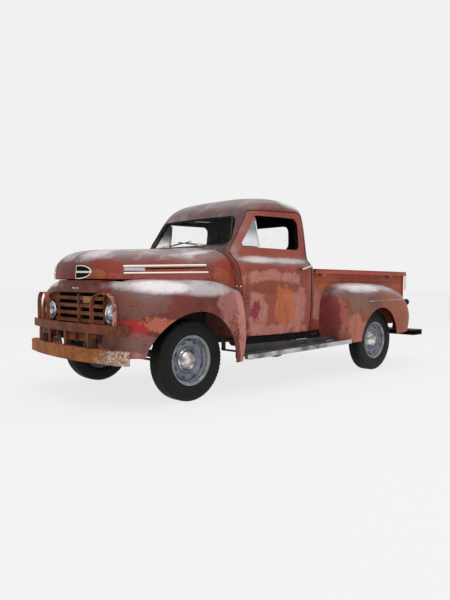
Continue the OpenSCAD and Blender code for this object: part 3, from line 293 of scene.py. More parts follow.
def tyre_rubber():
    f = Finish("tyre_rubber", Specular_IOR_Level=0.25)
    dust, fine = f.noise(6, 6, 0.6), f.noise(120, 4, 0.6)
    colour = f.mix(f.step(dust, 0.42, 0.72) * 0.55, tone(13, 13, 12), tone(30, 28, 26))
    return f.feed(Base_Color=f.mix(f.step(fine, 0.5, 0.7) * 0.4, colour, tone(22, 20, 19)),
                  Roughness=0.62 + (dust - 0.5) * 0.3, Normal=f.bump(fine, 0.2, 0.001))


def old_wood():
    f = Finish("bed_wood", Specular_IOR_Level=0.2)
    grain = f.noise(1, 8, 0.7, f.stretched((1.5, 60, 30)))
    stain = f.noise(3.5, 6, 0.6)
    colour = f.mix(f.step(grain, 0.36, 0.66), tone(128, 112, 96), tone(74, 60, 50))
    colour = f.mix(f.step(stain, 0.5, 0.7) * 0.6, colour, tone(96, 58, 42))
    return f.feed(Base_Color=colour, Roughness=0.82, Normal=f.bump(grain, 0.6, 0.003))


def seat_cloth():
    """Brown seat cloth with a visible weave and worn paler ribs."""
    f = Finish("seat_fabric", Specular_IOR_Level=0.2, Sheen_Weight=0.25, Sheen_Roughness=0.6)
    across = f.node("ShaderNodeTexWave", {"bands_direction": "Y"},
                    {"Vector": f.place, "Scale": 95, "Distortion": 0.6})
    down = f.node("ShaderNodeTexWave", {"bands_direction": "X"},
                  {"Vector": f.place, "Scale": 95, "Distortion": 0.6})
    wear, stains = f.noise(5, 6, 0.6), f.noise(16, 6, 0.65)
    weave = across * down
    colour = f.mix(weave, tone(58, 42, 34), tone(104, 80, 62))
    colour = f.mix(f.step(wear, 0.5, 0.7) * 0.6, colour, tone(132, 108, 86))
    colour = f.mix(f.step(stains, 0.56, 0.72) * 0.55, colour, tone(40, 30, 26))
    return f.feed(Base_Color=colour, Roughness=0.88, Normal=f.bump(weave * 0.5 + wear, 0.4, 0.002))


DOOR_PATCHES = (
    (0.60, 1.07, 0.40, 0.09, SALMON, 0.85, 0.9), (0.86, 0.76, 0.14, 0.22, SALMON, 0.9, 0.8),
    (0.28, 0.80, 0.16, 0.26, SALMON, 0.8, 1.0), (0.60, 0.995, 0.36, 0.07, BROWN, 0.95, 0.8),
    (0.46, 0.80, 0.14, 0.22, tone(188, 104, 66), 0.9, 0.8), (0.87, 0.78, 0.065, 0.085, MAGENTA, 0.95, 2.0),
    (0.55, 0.58, 0.5, 0.05, PINK, 0.6, 1.0), (0.99, 0.80, 0.03, 0.3, BROWN, 0.8, 0.6),
)
FENDER_PATCHES = (
    (2.28, 0.86, 0.32, 0.10, tone(122, 84, 76), 0.7, 1.1), (2.45, 0.845, 0.07, 0.05, ORANGE, 0.8, 1.2),
    (2.27, 0.655, 0.10, 0.07, BRIGHT_RED, 0.9, 0.8), (2.42, 0.60, 0.10, 0.09, BRIGHT_RED, 0.9, 0.9),
    (2.08, 0.69, 0.14, 0.06, tone(188, 104, 80), 0.85, 1.3), (2.26, 0.53, 0.20, 0.10, GREY_PINK, 0.75, 0.9),
    (2.38, 0.455, 0.16, 0.04, PINK, 0.7, 0.8), (1.30, 0.78, 0.15, 0.18, tone(176, 112, 106), 0.7, 1.3),
    (1.15, 0.62, 0.07, 0.40, PINK, 0.8, 0.6),
)
HOOD_PATCHES = (
    (2.33, 1.105, 0.09, 0.04, tone(172, 104, 64), 0.5, 1.2), (1.75, 1.10, 0.40, 0.04, tone(160, 78, 70), 0.6, 1.2),
    (2.44, 1.20, 0.10, 0.10, tone(104, 70, 64), 0.8, 0.8), (1.25, 1.10, 0.10, 0.08, ORANGE, 0.35, 1.2),
)
BED_PATCHES = (
    (-0.33, 0.82, 0.17, 0.17, SALMON, 0.9, 0.6), (-0.46, 1.03, 0.25, 0.10, ORANGE, 0.6, 1.0),
    (-0.95, 1.15, 0.9, 0.035, tone(186, 88, 76), 0.7, 0.6), (-1.15, 1.12, 0.25, 0.05, BRIGHT_RED, 0.35, 1.0),
    (-1.85, 1.08, 0.3, 0.1, ORANGE, 0.45, 1.0),
)
REAR_PATCHES = ((-0.42, 0.66, 0.14, 0.26, tone(158, 100, 92), 0.7, 1.1),
                (-0.44, 0.72, 0.07, 0.12, BRIGHT_RED, 0.5, 1.6),
                (-0.74, 0.80, 0.18, 0.12, tone(126, 98, 84), 0.8, 0.9),
                (-0.68, 0.53, 0.16, 0.16, tone(186, 112, 94), 0.85, 0.8),
                (-1.08, 0.82, 0.16, 0.10, PLUM, 0.6, 1.1), (-1.75, 0.68, 0.5, 0.45, tone(156, 86, 60), 0.8,
                                                            0.8),
                (-0.40, 0.74, 0.05, 0.5, tone(104, 32, 38), 0.8, 0.8),)
# The gleams below are painted highlights along the fender crowns, the roof and the door belt.
HOOD_PAINT = old_paint("hood_paint", tone(134, 50, 37), tone(106, 42, 34), HOOD_PATCHES, crown=0.5, sky_highlight=0.6,
                       rust=0.35)
FENDER_PAINT = old_paint("fender_paint", tone(110, 48, 42), tone(92, 42, 38), FENDER_PATCHES, crown=0.38,
                         sky_highlight=0.35, gleams=((2.00, 1.0, 0.26, 0.055, 0.95), (1.58, 0.98, 0.32, 0.06, 0.5)),
                         speckle=0.75)
CAB_PAINT = old_paint("cab_paint", tone(122, 56, 47), tone(92, 42, 36), (
    (0.515, 1.84, 0.16, 0.06, tone(190, 140, 132), 0.6, 1.0), (1.14, 0.84, 0.06, 0.3, SALMON, 0.5, 1.0),
), crown=0.3, sky_highlight=0.15, gleams=((0.10, 1.87, 0.20, 0.07, 0.9),),
                      plum=(tone(58, 44, 46), tone(92, 58, 56)))
DOOR_PAINT = old_paint("door_paint", tone(150, 76, 62), tone(136, 62, 50), DOOR_PATCHES, crown=0.3, sky_highlight=0.25,
                       rust=0.3, gleams=((0.80, 1.262, 0.24, 0.034, 0.75), (0.36, 1.262, 0.26, 0.030, 0.5)))
BED_PAINT = old_paint("bed_paint", tone(170, 80, 52), tone(140, 54, 42), BED_PATCHES, crown=0.7, sky_highlight=0.4)
REAR_PAINT = old_paint("rear_fender_paint", tone(140, 80, 64), tone(124, 66, 52), REAR_PATCHES, crown=0.34,
                       sky_highlight=0.3, gleams=((-0.92, 1.0, 0.34, 0.06, 0.9), (-1.5, 1.0, 0.25, 0.05, 0.35)))
BUMPER_RUST = rusty("bumper_rust", tone(134, 78, 46), tone(172, 104, 52), tone(66, 38, 26), tone(190, 184, 176),
                    0.52)
# Painted highlight: pale pink marks on the outer part of the left hoop.
HOOP_RUST_AND_HIGHLIGHT = rusty("hoop_rust", tone(126, 66, 48), tone(160, 88, 56), tone(58, 34, 27), tone(206, 160, 150), 0.54)
GUARD_RUST = rusty("guard_rust", tone(98, 54, 42), tone(132, 74, 44), tone(50, 30, 25))
GRILLE_RUST = rusty("grille_rust", tone(96, 54, 36), tone(136, 80, 46), tone(44, 24, 18))
STEEL_RUST = rusty("chassis_rust", tone(70, 46, 36), tone(98, 60, 42), tone(30, 22, 19))
CHASSIS_BLACK = dull("chassis_black", tone(34, 32, 31), tone(58, 44, 37), 0.7)
# Near black: painted shade on inside faces, in recesses and openings; also the real black of the cab floor and
# seams.
BLACK_AND_SHADE = dull("black_and_painted_shade", tone(17, 15, 15), tone(28, 22, 20), 0.9, 6, specular=0.08)
# Dark brown on the faces inside the wheel wells, behind the apron and on the inner fenders.
WELL_DARK = rusty("wheel_well_dirt", tone(36, 27, 23), tone(56, 38, 30), tone(20, 16, 14), metallic=0)
CHROME = plated("old_chrome")
TRIM = plated("trim_bright", tone(226, 220, 208), tone(150, 118, 96), 0.3, 0.66)
# Painted reflections: dark, mid and bright bands on the hub cap.
HUB_CHROME = mirror_bright("hub_chrome", tone(112, 112, 122), tone(176, 164, 150), tone(224, 226, 232))
WHEEL_GREY = dull("wheel_grey", tone(124, 130, 144), tone(92, 96, 108), 0.42, 9, 0.15, 0.15)
RIM_CREAM = dull("rim_cream", tone(150, 152, 160), tone(112, 112, 118), 0.4, 14, 0.15, 0.1)
RUBBER = tyre_rubber()
SEAL = dull("black_rubber", tone(22, 21, 21), tone(38, 36, 34), 0.7, 30)
GLASS = glazed("window_glass", tone(120, 126, 128), 0.02, 0.03, specular=0.02)
VENT_GLASS = glazed("vent_glass", tone(160, 168, 176), 0.12, 0.12, 0.75, 1.44, 1.62)
# Painted reflections: dark, mid and bright bands on the headlamp lens.
LENS = mirror_bright("lamp_glass", tone(96, 104, 118), tone(170, 180, 194), tone(236, 240, 244), 0.05)
BOARD_BLACK = dull("board_black", tone(38, 39, 41), tone(66, 62, 60), 0.5, 8)
# Pale grey on the running boards' outer edges and the rear fender strips.
BOARD_EDGE = dull("pale_edge", tone(196, 192, 194), tone(96, 92, 94), 0.35, 5, 0.2, 0.5)
WOOD, CLOTH = old_wood(), seat_cloth()
PIPING = dull("seat_piping", tone(44, 34, 30), tone(70, 54, 46), 0.6, 40)
LAMP_RED = dull("lamp_red", tone(122, 18, 18), tone(86, 14, 14), 0.25, 30, specular=0.5)
BAKELITE = dull("hand_wheel_plastic", tone(30, 27, 26), tone(58, 48, 42), 0.35, 20, specular=0.5)
DIAL = dull("dial_face", tone(196, 186, 160), tone(120, 104, 84), 0.5, 30)


SILVER = plated("lamp_silver", tone(222, 226, 232), tone(170, 170, 172), 0.2, 0.75)
# Painted reflection: the chrome block at the front of the hood trim is given the sky's pale blue.
SKY_BLUE_CHROME = dull("pale_blue_inset", tone(186, 200, 212), tone(158, 168, 180), 0.35, 12, 0.1, 0.2)
CARD = dull("door_card", tone(74, 52, 42), tone(46, 34, 28), 0.7, 14, 0.3, specular=0.2)
PLATE = dull("blank_plate", tone(176, 124, 62), tone(112, 70, 44), 0.6, 18)

# The slot of a finish, unless a piece says another
SLOT_OF = {finish.name: slot for slot, finishes in (
    ("body_paint", (HOOD_PAINT, FENDER_PAINT, CAB_PAINT, DOOR_PAINT, BED_PAINT, REAR_PAINT, WELL_DARK,
                    BOARD_BLACK, BOARD_EDGE)),
    ("rusty_steel", (BUMPER_RUST, HOOP_RUST_AND_HIGHLIGHT, GUARD_RUST, GRILLE_RUST, STEEL_RUST, PLATE)),
    ("chassis_steel", (CHASSIS_BLACK,)),
    ("lamp_chrome", (CHROME, TRIM, HUB_CHROME, SILVER, SKY_BLUE_CHROME)),
    ("wheel_paint", (WHEEL_GREY, RIM_CREAM)),
    ("tyre_rubber", (RUBBER, SEAL)),
    ("window_glass", (GLASS, VENT_GLASS, LENS)),
    ("bed_wood", (WOOD,)),
    ("seat_fabric", (CLOTH, PIPING, CARD)),
    ("lamp_red", (LAMP_RED,)),
    ("hand_wheel_plastic", (BAKELITE, DIAL)),
) for finish in finishes}


# ---------- making pieces ----------

def take(*objects):
    """Selects only these, the last one active."""
    for other in bpy.context.selected_objects:
        other.select_set(False)
    for one in objects:
        one.select_set(True)
    bpy.context.view_layer.objects.active = objects[-1]


def edit(piece):
    take(piece)
    bpy.ops.object.mode_set(mode="EDIT")
    bpy.ops.mesh.select_all(action="SELECT")


def done_editing():
    bpy.ops.object.mode_set(mode="OBJECT")


def select_faces(piece, wanted):
    """Selects, in edit mode, the faces for which wanted(centre, normal) holds."""
    bpy.ops.mesh.select_all(action="DESELECT")
    bpy.ops.mesh.select_mode(type="FACE")
    done_editing()
    for face in piece.data.polygons:
        face.select = bool(wanted(face.center, face.normal))
    bpy.ops.object.mode_set(mode="EDIT")


def smooth(piece, angle=38, weighted=False):
    take(piece)
    bpy.ops.object.shade_smooth_by_angle(angle=radians(angle))
    if weighted:
        even = piece.modifiers.new("even_normals", "WEIGHTED_NORMAL")
        even.keep_sharp = True
        bpy.ops.object.modifier_apply(modifier=even.name)


def settle(piece, name, finish, body="chassis", slot=None):
    """Names a piece, gives it its finish, and puts it on its body."""
    piece.name = piece.data.name = name
    piece.data.materials.clear()
    piece.data.materials.append(finish)
    slot = slot or SLOT_OF.get(finish.name)
    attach(piece, body)
    return piece


def body_for(node):
    return nodes[node]["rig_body"]


def twin_of(piece):
    """A copy with its own mesh."""
    twin = piece.copy()
    twin.data = piece.data.copy()
    scene.collection.objects.link(twin)
    return twin


def welded(piece, angle, threshold=0.00002):
    """Ends the editing of a piece with one closed skin and smooth faces."""
    bpy.ops.mesh.remove_doubles(threshold=threshold)
    bpy.ops.mesh.normals_make_consistent(inside=False)
    done_editing()
    smooth(piece, angle)


def panel(node, finish, name=None, angle=38, slot=None):
    """A merged copy of a CAD node that stands for it, with smooth faces."""
    piece = twin_of(nodes[node])
    piece.parent = None
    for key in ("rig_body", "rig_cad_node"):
        del piece[key]
    edit(piece)
    bpy.ops.mesh.customdata_custom_splitnormals_clear()
    bpy.ops.mesh.remove_doubles(threshold=0.00003)
    done_editing()
    smooth(piece, angle, weighted=True)
    settle(piece, name or node + "_skin", finish, body_for(node), slot)
    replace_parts(piece, node)
    return piece


def finish_inside(piece, finish, inwards):
    """Gives a second finish to the faces that look towards the inside."""
    piece.data.materials.append(finish)
    for face in piece.data.polygons:
        if inwards(face.center, face.normal):
            face.material_index = 1


def block(name, low, high, finish, body="chassis", slot=None, bevel=0.004, segments=2, shape=None):
    """A bevelled bar between two corners; shape works on it in edit mode first."""
    low, high = Vector(low), Vector(high)
    take(nodes["hood"])
    bpy.ops.mesh.primitive_cube_add(size=1, location=(low + high) / 2)
    piece = bpy.context.object
    bpy.ops.transform.resize(value=high - low)
    bpy.ops.object.transform_apply(location=True, rotation=True, scale=True)
    edit(piece)
    if shape:
        shape(piece)
        bpy.ops.mesh.select_all(action="SELECT")
    if bevel:
        bpy.ops.mesh.bevel(offset=bevel, segments=segments, affect="EDGES", clamp_overlap=True)
    done_editing()
    smooth(piece, 40)
    return settle(piece, name, finish, body, slot)


def faces_front(place, normal):
    return normal.x > 0.9


def pressed(wanted, *insets):
    """A shape for block: insets the faces that are wanted by each (thickness, depth)."""
    def shape(piece):
        select_faces(piece, wanted)
        for thickness, depth in insets:
            bpy.ops.mesh.inset(thickness=thickness, depth=depth)
    return shape


def moulding(name, path, section, finish, body="chassis", slot=None, closed=False, twist="Z_UP", angle=40):
    """A bar swept along a path, or along each of several; section is a radius, or an outline as (out, up) pairs."""
    def line(label, paths, cyclic):
        guide = bpy.data.curves.new(label, "CURVE")
        guide.dimensions = "3D"
        for points in paths:
            spline = guide.splines.new("POLY")
            spline.points.add(len(points) - 1)
            for point, place in zip(spline.points, points):
                point.co = (*place, 1)
            spline.use_cyclic_u = cyclic
        made = bpy.data.objects.new(label, guide)
        scene.collection.objects.link(made)
        return made
    piece = line(name, [path] if isinstance(path[0][0], (int, float)) else path, closed)
    piece.data.twist_mode = twist
    piece.data.use_fill_caps = True
    outline = None
    if isinstance(section, (int, float)):
        piece.data.bevel_depth = section
        piece.data.bevel_resolution = 2
    else:
        outline = line(name + "_section", [[(a, b, 0) for a, b in section]], True)
        piece.data.bevel_mode = "OBJECT"
        piece.data.bevel_object = outline
    take(piece)
    bpy.ops.object.convert(target="MESH")
    piece = bpy.context.object
    if outline:
        bpy.data.objects.remove(outline)
    edit(piece)
    welded(piece, angle)
    return settle(piece, name, finish, body, slot)


def mm(*numbers):
    """Outline points from numbers in millimetres."""
    return [(a / 1000, b / 1000) for a, b in zip(numbers[::2], numbers[1::2])]


def wire(*details, **more):
    """A moulding that doesn't keep its section upright."""
    return moulding(*details, twist="MINIMUM", **more)


def turned(name, outline, centre, finish, body="chassis", slot=None, axis=(0, 1, 0), side=1, steps=64, angle=35):
    """A closed outline of (radius, along) points, in metres, spun about an axis through centre."""
    axis = Vector(axis).normalized()
    radial = axis.orthogonal().normalized()
    centre = Vector(centre)
    mesh = bpy.data.meshes.new(name)
    points = [centre + radial * r + axis * t * side for r, t in outline]
    count = len(points)
    mesh.from_pydata(points, [(k, (k + 1) % count) for k in range(count)], [])
    piece = bpy.data.objects.new(name, mesh)
    scene.collection.objects.link(piece)
    edit(piece)
    bpy.ops.mesh.spin(steps=steps, angle=2 * pi, center=centre, axis=axis)
    bpy.ops.mesh.select_all(action="SELECT")
    welded(piece, angle)
    return settle(piece, name, finish, body, slot)


def merged(name, pieces):
    """Joins pieces of one finish and body into one."""
    kept = pieces[0]
    take(*pieces[1:], kept)
    bpy.ops.object.join()
    kept.name = kept.data.name = name
    return kept


def repeated(name, piece, moves):
    """Copies of a piece, one for each move, in one mesh."""
    copies = []
    for move in moves:
        twin = twin_of(piece)
        twin.data.transform(Matrix.Translation(Vector(move)))
        copies.append(twin)
    bpy.data.objects.remove(piece)
    return merged(name, copies)


def mirrored_copy(piece, name):
    """The same piece on the other side, with its own mesh."""
    twin = twin_of(piece)
    twin.data.transform(Matrix.Scale(-1, 4, (0, 1, 0)))
    edit(twin)
    bpy.ops.mesh.flip_normals()
    done_editing()
    twin.name = twin.data.name = name
    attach(twin, piece["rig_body"])
    return twin


def plate_over(name, grid, thickness, finish, body="chassis", slot=None):
    """A thin curved plate through rows of points."""
    mesh, width = bpy.data.meshes.new(name), len(grid[0])
    mesh.from_pydata([p for row in grid for p in row], [], [
        (i * width + j, i * width + j + 1, (i + 1) * width + j + 1, (i + 1) * width + j)
        for i in range(len(grid) - 1) for j in range(width - 1)])
    piece = bpy.data.objects.new(name, mesh)
    scene.collection.objects.link(piece)
    edit(piece)
    bpy.ops.mesh.remove_doubles(threshold=0.0004)
    bpy.ops.mesh.normals_make_consistent(inside=False)
    done_editing()
    wall = piece.modifiers.new("wall", "SOLIDIFY")
    wall.thickness = thickness
    take(piece)
    bpy.ops.object.modifier_apply(modifier=wall.name)
    smooth(piece, 40)
    return settle(piece, name, finish, body, slot)


class Surface:
    """Finds points on a CAD node's skin."""

    def __init__(self, *names):
        points, faces = [], []
        for name in names:
            start, mesh = len(points), nodes[name].data
            points += [v.co.copy() for v in mesh.vertices]
            faces += [[start + k for k in face.vertices] for face in mesh.polygons]
        self.tree = BVHTree.FromPolygons(points, faces)

    def touch(self, start, direction, out=0.0):
        """The first point of the skin from start, lifted off it, or None."""
        place, normal = self.tree.ray_cast(Vector(start), Vector(direction))[:2]
        return None if place is None else place + normal * out

    def from_side(self, x, z, out=0.0, side=1):
        return self.touch((x, 1.5 * side, z), (0, -side, 0), out)

    def from_front(self, y, z, out=0.0):
        return self.touch((3.5, y, z), (-1, 0, 0), out)

    def side_line(self, side, xs, zs, out):
        """Points seen from one side along a line, without those that miss."""
        return [p for p in (self.from_side(x, z, out, side) for x, z in zip(xs, zs)) if p]

    def front_line(self, ys, zs, out):
        return [p for p in (self.from_front(y, z, out) for y, z in zip(ys, zs)) if p]


def steps(first, last, count):
    return [first + (last - first) * k / (count - 1) for k in range(count)]


def rounded_bar(width, height, chamfer=0.3):
    """Outline of a bar with eased corners, for a moulding."""
    a, b, c = width / 2, height / 2, min(width, height) * chamfer
    return [(-a, -b + c), (-a + c, -b), (a - c, -b), (a, -b + c), (a, b - c), (a - c, b), (-a + c, b), (-a, b - c)]


# ---------- body panels ----------

def towards(centre, limit):
    """Holds for faces that look towards a point."""
    centre = Vector(centre)
    return lambda place, normal: normal.dot((centre - place).normalized()) > limit


hood = panel("hood", HOOD_PAINT)
# Painted shade: the hood's inner faces are near black.
finish_inside(hood, BLACK_AND_SHADE, towards((1.6, 0, 0.7), 0.5))
# Painted shade: the inner faces of the cowl, roof and back are near black.
for node in ("cowl", "cab_roof", "cab_back"):
    finish_inside(panel(node, CAB_PAINT), BLACK_AND_SHADE, towards(CAB_MIDDLE, 0.35))
doors = {}
for side, label in SIDES:
    door = doors[label] = panel("door_" + label, DOOR_PAINT)
    # Painted shade: the door's inner faces and the inner edges of its window frame are near black.
    finish_inside(door, BLACK_AND_SHADE, lambda place, normal, side=side: normal.y * side < -0.6 or (
        place.z > 1.35 and abs(normal.y) < 0.3 and abs(place.y) < 0.79 and 0 < place.x < 0.95
        and normal.dot(Vector((0.45, place.y, 1.52)) - place) > 0))
    fender = panel("front_fender_" + label, FENDER_PAINT)
    finish_inside(fender, WELL_DARK, towards((FRONT_AXLE.x, side * 0.60, 0.45), 0.4))
    rear = panel("rear_fender_" + label, REAR_PAINT)
    finish_inside(rear, WELL_DARK, towards((REAR_AXLE.x, side * 0.66, 0.45), 0.4))
apron = panel("front_apron", FENDER_PAINT)
finish_inside(apron, WELL_DARK, lambda place, normal: normal.x < -0.3)
for paint, angle, slot, names in (
        (WELL_DARK, 38, None, "inner_fenders"),
        (BED_PAINT, 30, None, "bed_sides bed_front_panel tailgate"),
        (CAB_PAINT, 30, None, "dashboard"),
        (STEEL_RUST, 35, "chassis_steel", "frame_rails frame_crossmembers fuel_tank"),
        (CHASSIS_BLACK, 35, None, "front_axle rear_axle leaf_springs driveshaft"),
        (CHASSIS_BLACK, 35, None, "knuckle_left knuckle_right tie_rod"),
        (CHASSIS_BLACK, 38, None, "engine radiator"),
        (STEEL_RUST, 38, None, "exhaust rear_bumper"),
        (BLACK_AND_SHADE, 38, "chassis_steel", "cab_floor"),
        (SEAL, 38, "hand_wheel_plastic", "steering_column"),
        (GLASS, 38, None, "cab_glass"),
        (VENT_GLASS, 38, None, "vent_window_left vent_window_right"),
        (BOARD_BLACK, 38, None, "running_boards")):
    for node in names.split():
        panel(node, paint, angle=angle, slot=slot)


# ---------- wheels ----------

LUGS = 60  # tread blocks round each shoulder


def tyre_outline():
    """Radius and distance along the axle, round a bias-ply tyre of the CAD tyre's size."""
    half, bead, r = 0.080, 0.2035, TYRE_R - 0.001
    side = [(bead, 0.0605), (bead + 0.012, 0.067), (bead + 0.022, 0.0675), (bead + 0.026, 0.0655),
            (bead + 0.045, 0.0755), (bead + 0.068, half), (bead + 0.090, half - 0.0005),
            (bead + 0.093, half - 0.003), (bead + 0.098, half - 0.003), (bead + 0.101, half - 0.002),
            (bead + 0.122, 0.0745), (bead + 0.134, 0.0735), (r - 0.012, 0.0665), (r - 0.006, 0.061),
            (r - 0.0015, 0.056)]
    grooves = [0.034, 0.017, 0.0, -0.017, -0.034]
    tread = []
    for g in grooves:
        tread += [(r, g + 0.0035), (r - 0.007, g + 0.002), (r - 0.007, g - 0.002), (r, g - 0.0035)]
    return side + tread + [(a, -b) for a, b in reversed(side)]


def shoulder_lugs(centre, body):
    """Tread blocks round both shoulders of a tyre."""
    lugs = []
    for side in (1, -1):
        lug = block("lug", centre + Vector((-0.0115, 0, TYRE_R - 0.0205)),
                    centre + Vector((0.0115, 0.013, TYRE_R - 0.0075)), RUBBER, body, None, 0.002, 1)
        lug.data.transform(Matrix.Translation(Vector((0, side * 0.0605 - 0.0065, 0))))
        for k in range(LUGS):
            twin = twin_of(lug)
            turn = (Matrix.Translation(centre) @ Matrix.Rotation(2 * pi * (k + 0.25 * side) / LUGS, 4, "Y")
                    @ Matrix.Translation(-centre))
            twin.data.transform(turn)
            lugs.append(twin)
        bpy.data.objects.remove(lug)
    return lugs


def wheel_pieces(label, centre, side):
    """Tyre, rim, disc, hub cap, drum, valve and nuts of one wheel."""
    body = label + "_wheel"
    centre = Vector((centre.x, side * abs(centre.y), centre.z))
    tyre = turned("tyre_%s_rubber" % label, tyre_outline(), centre, RUBBER, body, side=side, steps=96, angle=30)
    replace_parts(tyre, "tyre_" + label)
    merged("tread_lugs_" + label, shoulder_lugs(centre, body))
    turned("rim_" + label, mm(220.5, 69.5, 222, 66, 219.5, 62.5, 203.5, 57.5, 202.5, 31, 186.5, 13, 186.5, -13,
                              202.5, -31, 203.5, -57.5, 219.5, -62.5, 222, -66, 220.5, -69.5, 211, -69.5,
                              197, -60, 197, -29, 182, -11, 182, 11, 197, 29, 197.5, 56, 203, 62.5, 211, 69.5,
                              216, 71.5), centre, RIM_CREAM, body, side=side, steps=72)
    turned("disc_" + label, mm(182.5, 12, 178, 22, 169, 27.5, 150, 30.5, 136, 31, 126, 26, 116.5, 16, 110, 12.5,
                               40, 12.5, 40, 6.5, 108, 6.5, 120, 12, 130, 21.5, 137, 26, 150, 25.5, 166, 22,
                               174, 16, 178, 6, 182.5, 4), centre, WHEEL_GREY, body, side=side, steps=72)
    # Painted shade: dark lines stand for the hand holes in the disc.
    wire("hand_slots_" + label, [[centre + Vector((0.1575 * sin(angle + t), side * 0.0296,
                                                   0.1575 * cos(angle + t))) for t in steps(-0.12, 0.12, 7)]
                                 for angle in steps(radians(22.5), radians(337.5), 8)], 0.0042, BLACK_AND_SHADE, body)
    cap = turned("hub_cap_" + label, mm(106.5, 13.5, 107.5, 16.5, 104.5, 19.5, 98.5, 21.5, 95.5, 21.5,
                                        93.5, 23.5, 91.5, 30, 86, 37.5, 76, 45, 62, 52.5, 46, 58, 24, 61.2,
                                        0, 62, 0, 58, 44, 54.5, 72, 43.5, 88, 30, 90.5, 18.5, 100, 14.5),
                 centre, HUB_CHROME, body, side=side, steps=72, angle=50)
    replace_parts(cap, "wheel_" + label)
    # Brake drum and hub behind the disc, and the valve
    turned("brake_drum_" + label, mm(150, 7, 150, -60, 153.5, -64, 153.5, -68, 142, -68, 142, -3, 46, -3,
                                     44, -69, 19, -69, 19, 7), centre, CHASSIS_BLACK, body, side=side, steps=48)
    stem = centre + Vector((0, side * 0.036, 0.178))
    wire("valve_" + label, [stem - Vector((0, side * 0.012, 0)), stem,
                            stem + Vector((0, side * 0.012, -0.004))], 0.0035, SEAL, body)
    nut = turned("nut", mm(10, 0, 10, 12, 7, 16, 0, 16, 0, 0), centre,
                 CHASSIS_BLACK, body, side=side, steps=6, angle=20)
    repeated("wheel_nuts_" + label, nut,
             [(0.070 * cos(t), -side * 0.001, 0.070 * sin(t)) for t in steps(0.17, 5.2, 5)])


for label, (centre, side) in WHEELS.items():
    wheel_pieces(label, centre, side)


# ---------- hood trim and nostrils ----------

hood_skin = Surface("hood")


def hood_line(first, last, out, count=14):
    (x0, z0), (x1, z1) = first, last
    return [hood_skin.from_side(x, z, out) for x, z in zip(steps(x0, x1, count), steps(z0, z1, count))]


def arrow_strip(name, first, last, height):
    return moulding(name, hood_line(first, last, 0.003), rounded_bar(0.011, height, 0.42), TRIM, "hood_lid")


trim = [
    arrow_strip("trim_high_left", (2.153, 1.166), (1.401, 1.190), 0.021),
    arrow_strip("trim_low_left", (2.169, 1.108), (1.412, 1.126), 0.017),
    # The cap's pale blue is a painted sky reflection on chrome.
    moulding("trim_cap_left", hood_line((2.156, 1.140), (1.985, 1.142), 0.002, 6),
             rounded_bar(0.006, 0.034, 0.2), SKY_BLUE_CHROME, "hood_lid"),
    # Painted shadow: a near black line in the recess between the strips.
    moulding("trim_recess_left", hood_line((1.983, 1.150), (1.42, 1.168), 0.0012, 12),
             rounded_bar(0.003, 0.012, 0.2), BLACK_AND_SHADE, "hood_lid", "body_paint"),
]

# Bullet outline on the hood's nose, tip to the rear, from the front upper corner
NOSTRIL = ((0.178, 1.170), (0.214, 1.172), (0.250, 1.168), (0.284, 1.156), (0.308, 1.138), (0.318, 1.119),
           (0.308, 1.100), (0.284, 1.082), (0.250, 1.070), (0.214, 1.065), (0.180, 1.066))


def nostril(name):
    rim = wire(name + "_rim", hood_skin.front_line(*zip(*NOSTRIL), 0.002), 0.0055, TRIM, "hood_lid", closed=True)
    centre = [hood_skin.from_front(y, 1.119, 0.003) for y in steps(0.182, 0.316, 8)]
    bar = moulding(name + "_bar", centre, rounded_bar(0.005, 0.016, 0.35), TRIM, "hood_lid")
    ring = hood_skin.front_line(*zip(*NOSTRIL), 0.0012)
    grid = [[hood_skin.from_front(a.y + (b.y - a.y) * t, a.z + (b.z - a.z) * t, 0.0014) for t in steps(0, 1, 7)]
            for a, b in zip(ring[:6], reversed(ring[5:]))]
    # Painted shade: a near black plate fills the vent opening.
    shade_plate = plate_over(name + "_pit_shade", grid, 0.001, BLACK_AND_SHADE, "hood_lid", "body_paint")
    return [rim, bar, shade_plate]


trim += nostril("nostril_left")
for piece in trim:
    mirrored_copy(piece, piece.name.replace("_left", "_right"))


# ---------- grille, lamps and guard ----------

LAMP_Y, LAMP_Z, LAMP_X = 0.524, middle("headlamps").z, 2.280
grille_lip = panel("grille", GRILLE_RUST, "grille_frame")
edit(grille_lip)
select_faces(grille_lip, lambda place, normal: abs(place.y) < 0.413 and 0.655 < place.z < 0.94)
bpy.ops.mesh.delete(type="FACE")
done_editing()
BAR_X = 2.298
for k in range(4):
    z = LAMP_Z - 0.076 + 0.066 * k
    block("grille_bar_%d" % k, (BAR_X - 0.014, -0.412, z - 0.016), (BAR_X + 0.006, 0.412, z + 0.016), GRILLE_RUST,
          bevel=0.004, shape=pressed(faces_front, (0.006, -0.003)))
for k, y in enumerate((-0.392, 0, 0.392)):
    block("grille_post_%d" % k, (BAR_X - 0.031, y - 0.016, LAMP_Z - 0.112),
          (BAR_X + (0.011 if k == 1 else -0.010), y + 0.016, LAMP_Z + 0.162), GRILLE_RUST, bevel=0.005)
block("blank_plate", (BAR_X + 0.007, 0.085, 0.852), (BAR_X + 0.011, 0.262, 0.912), PLATE, bevel=0.0015,
      shape=pressed(faces_front, (0.007, 0), (0.002, -0.001)))
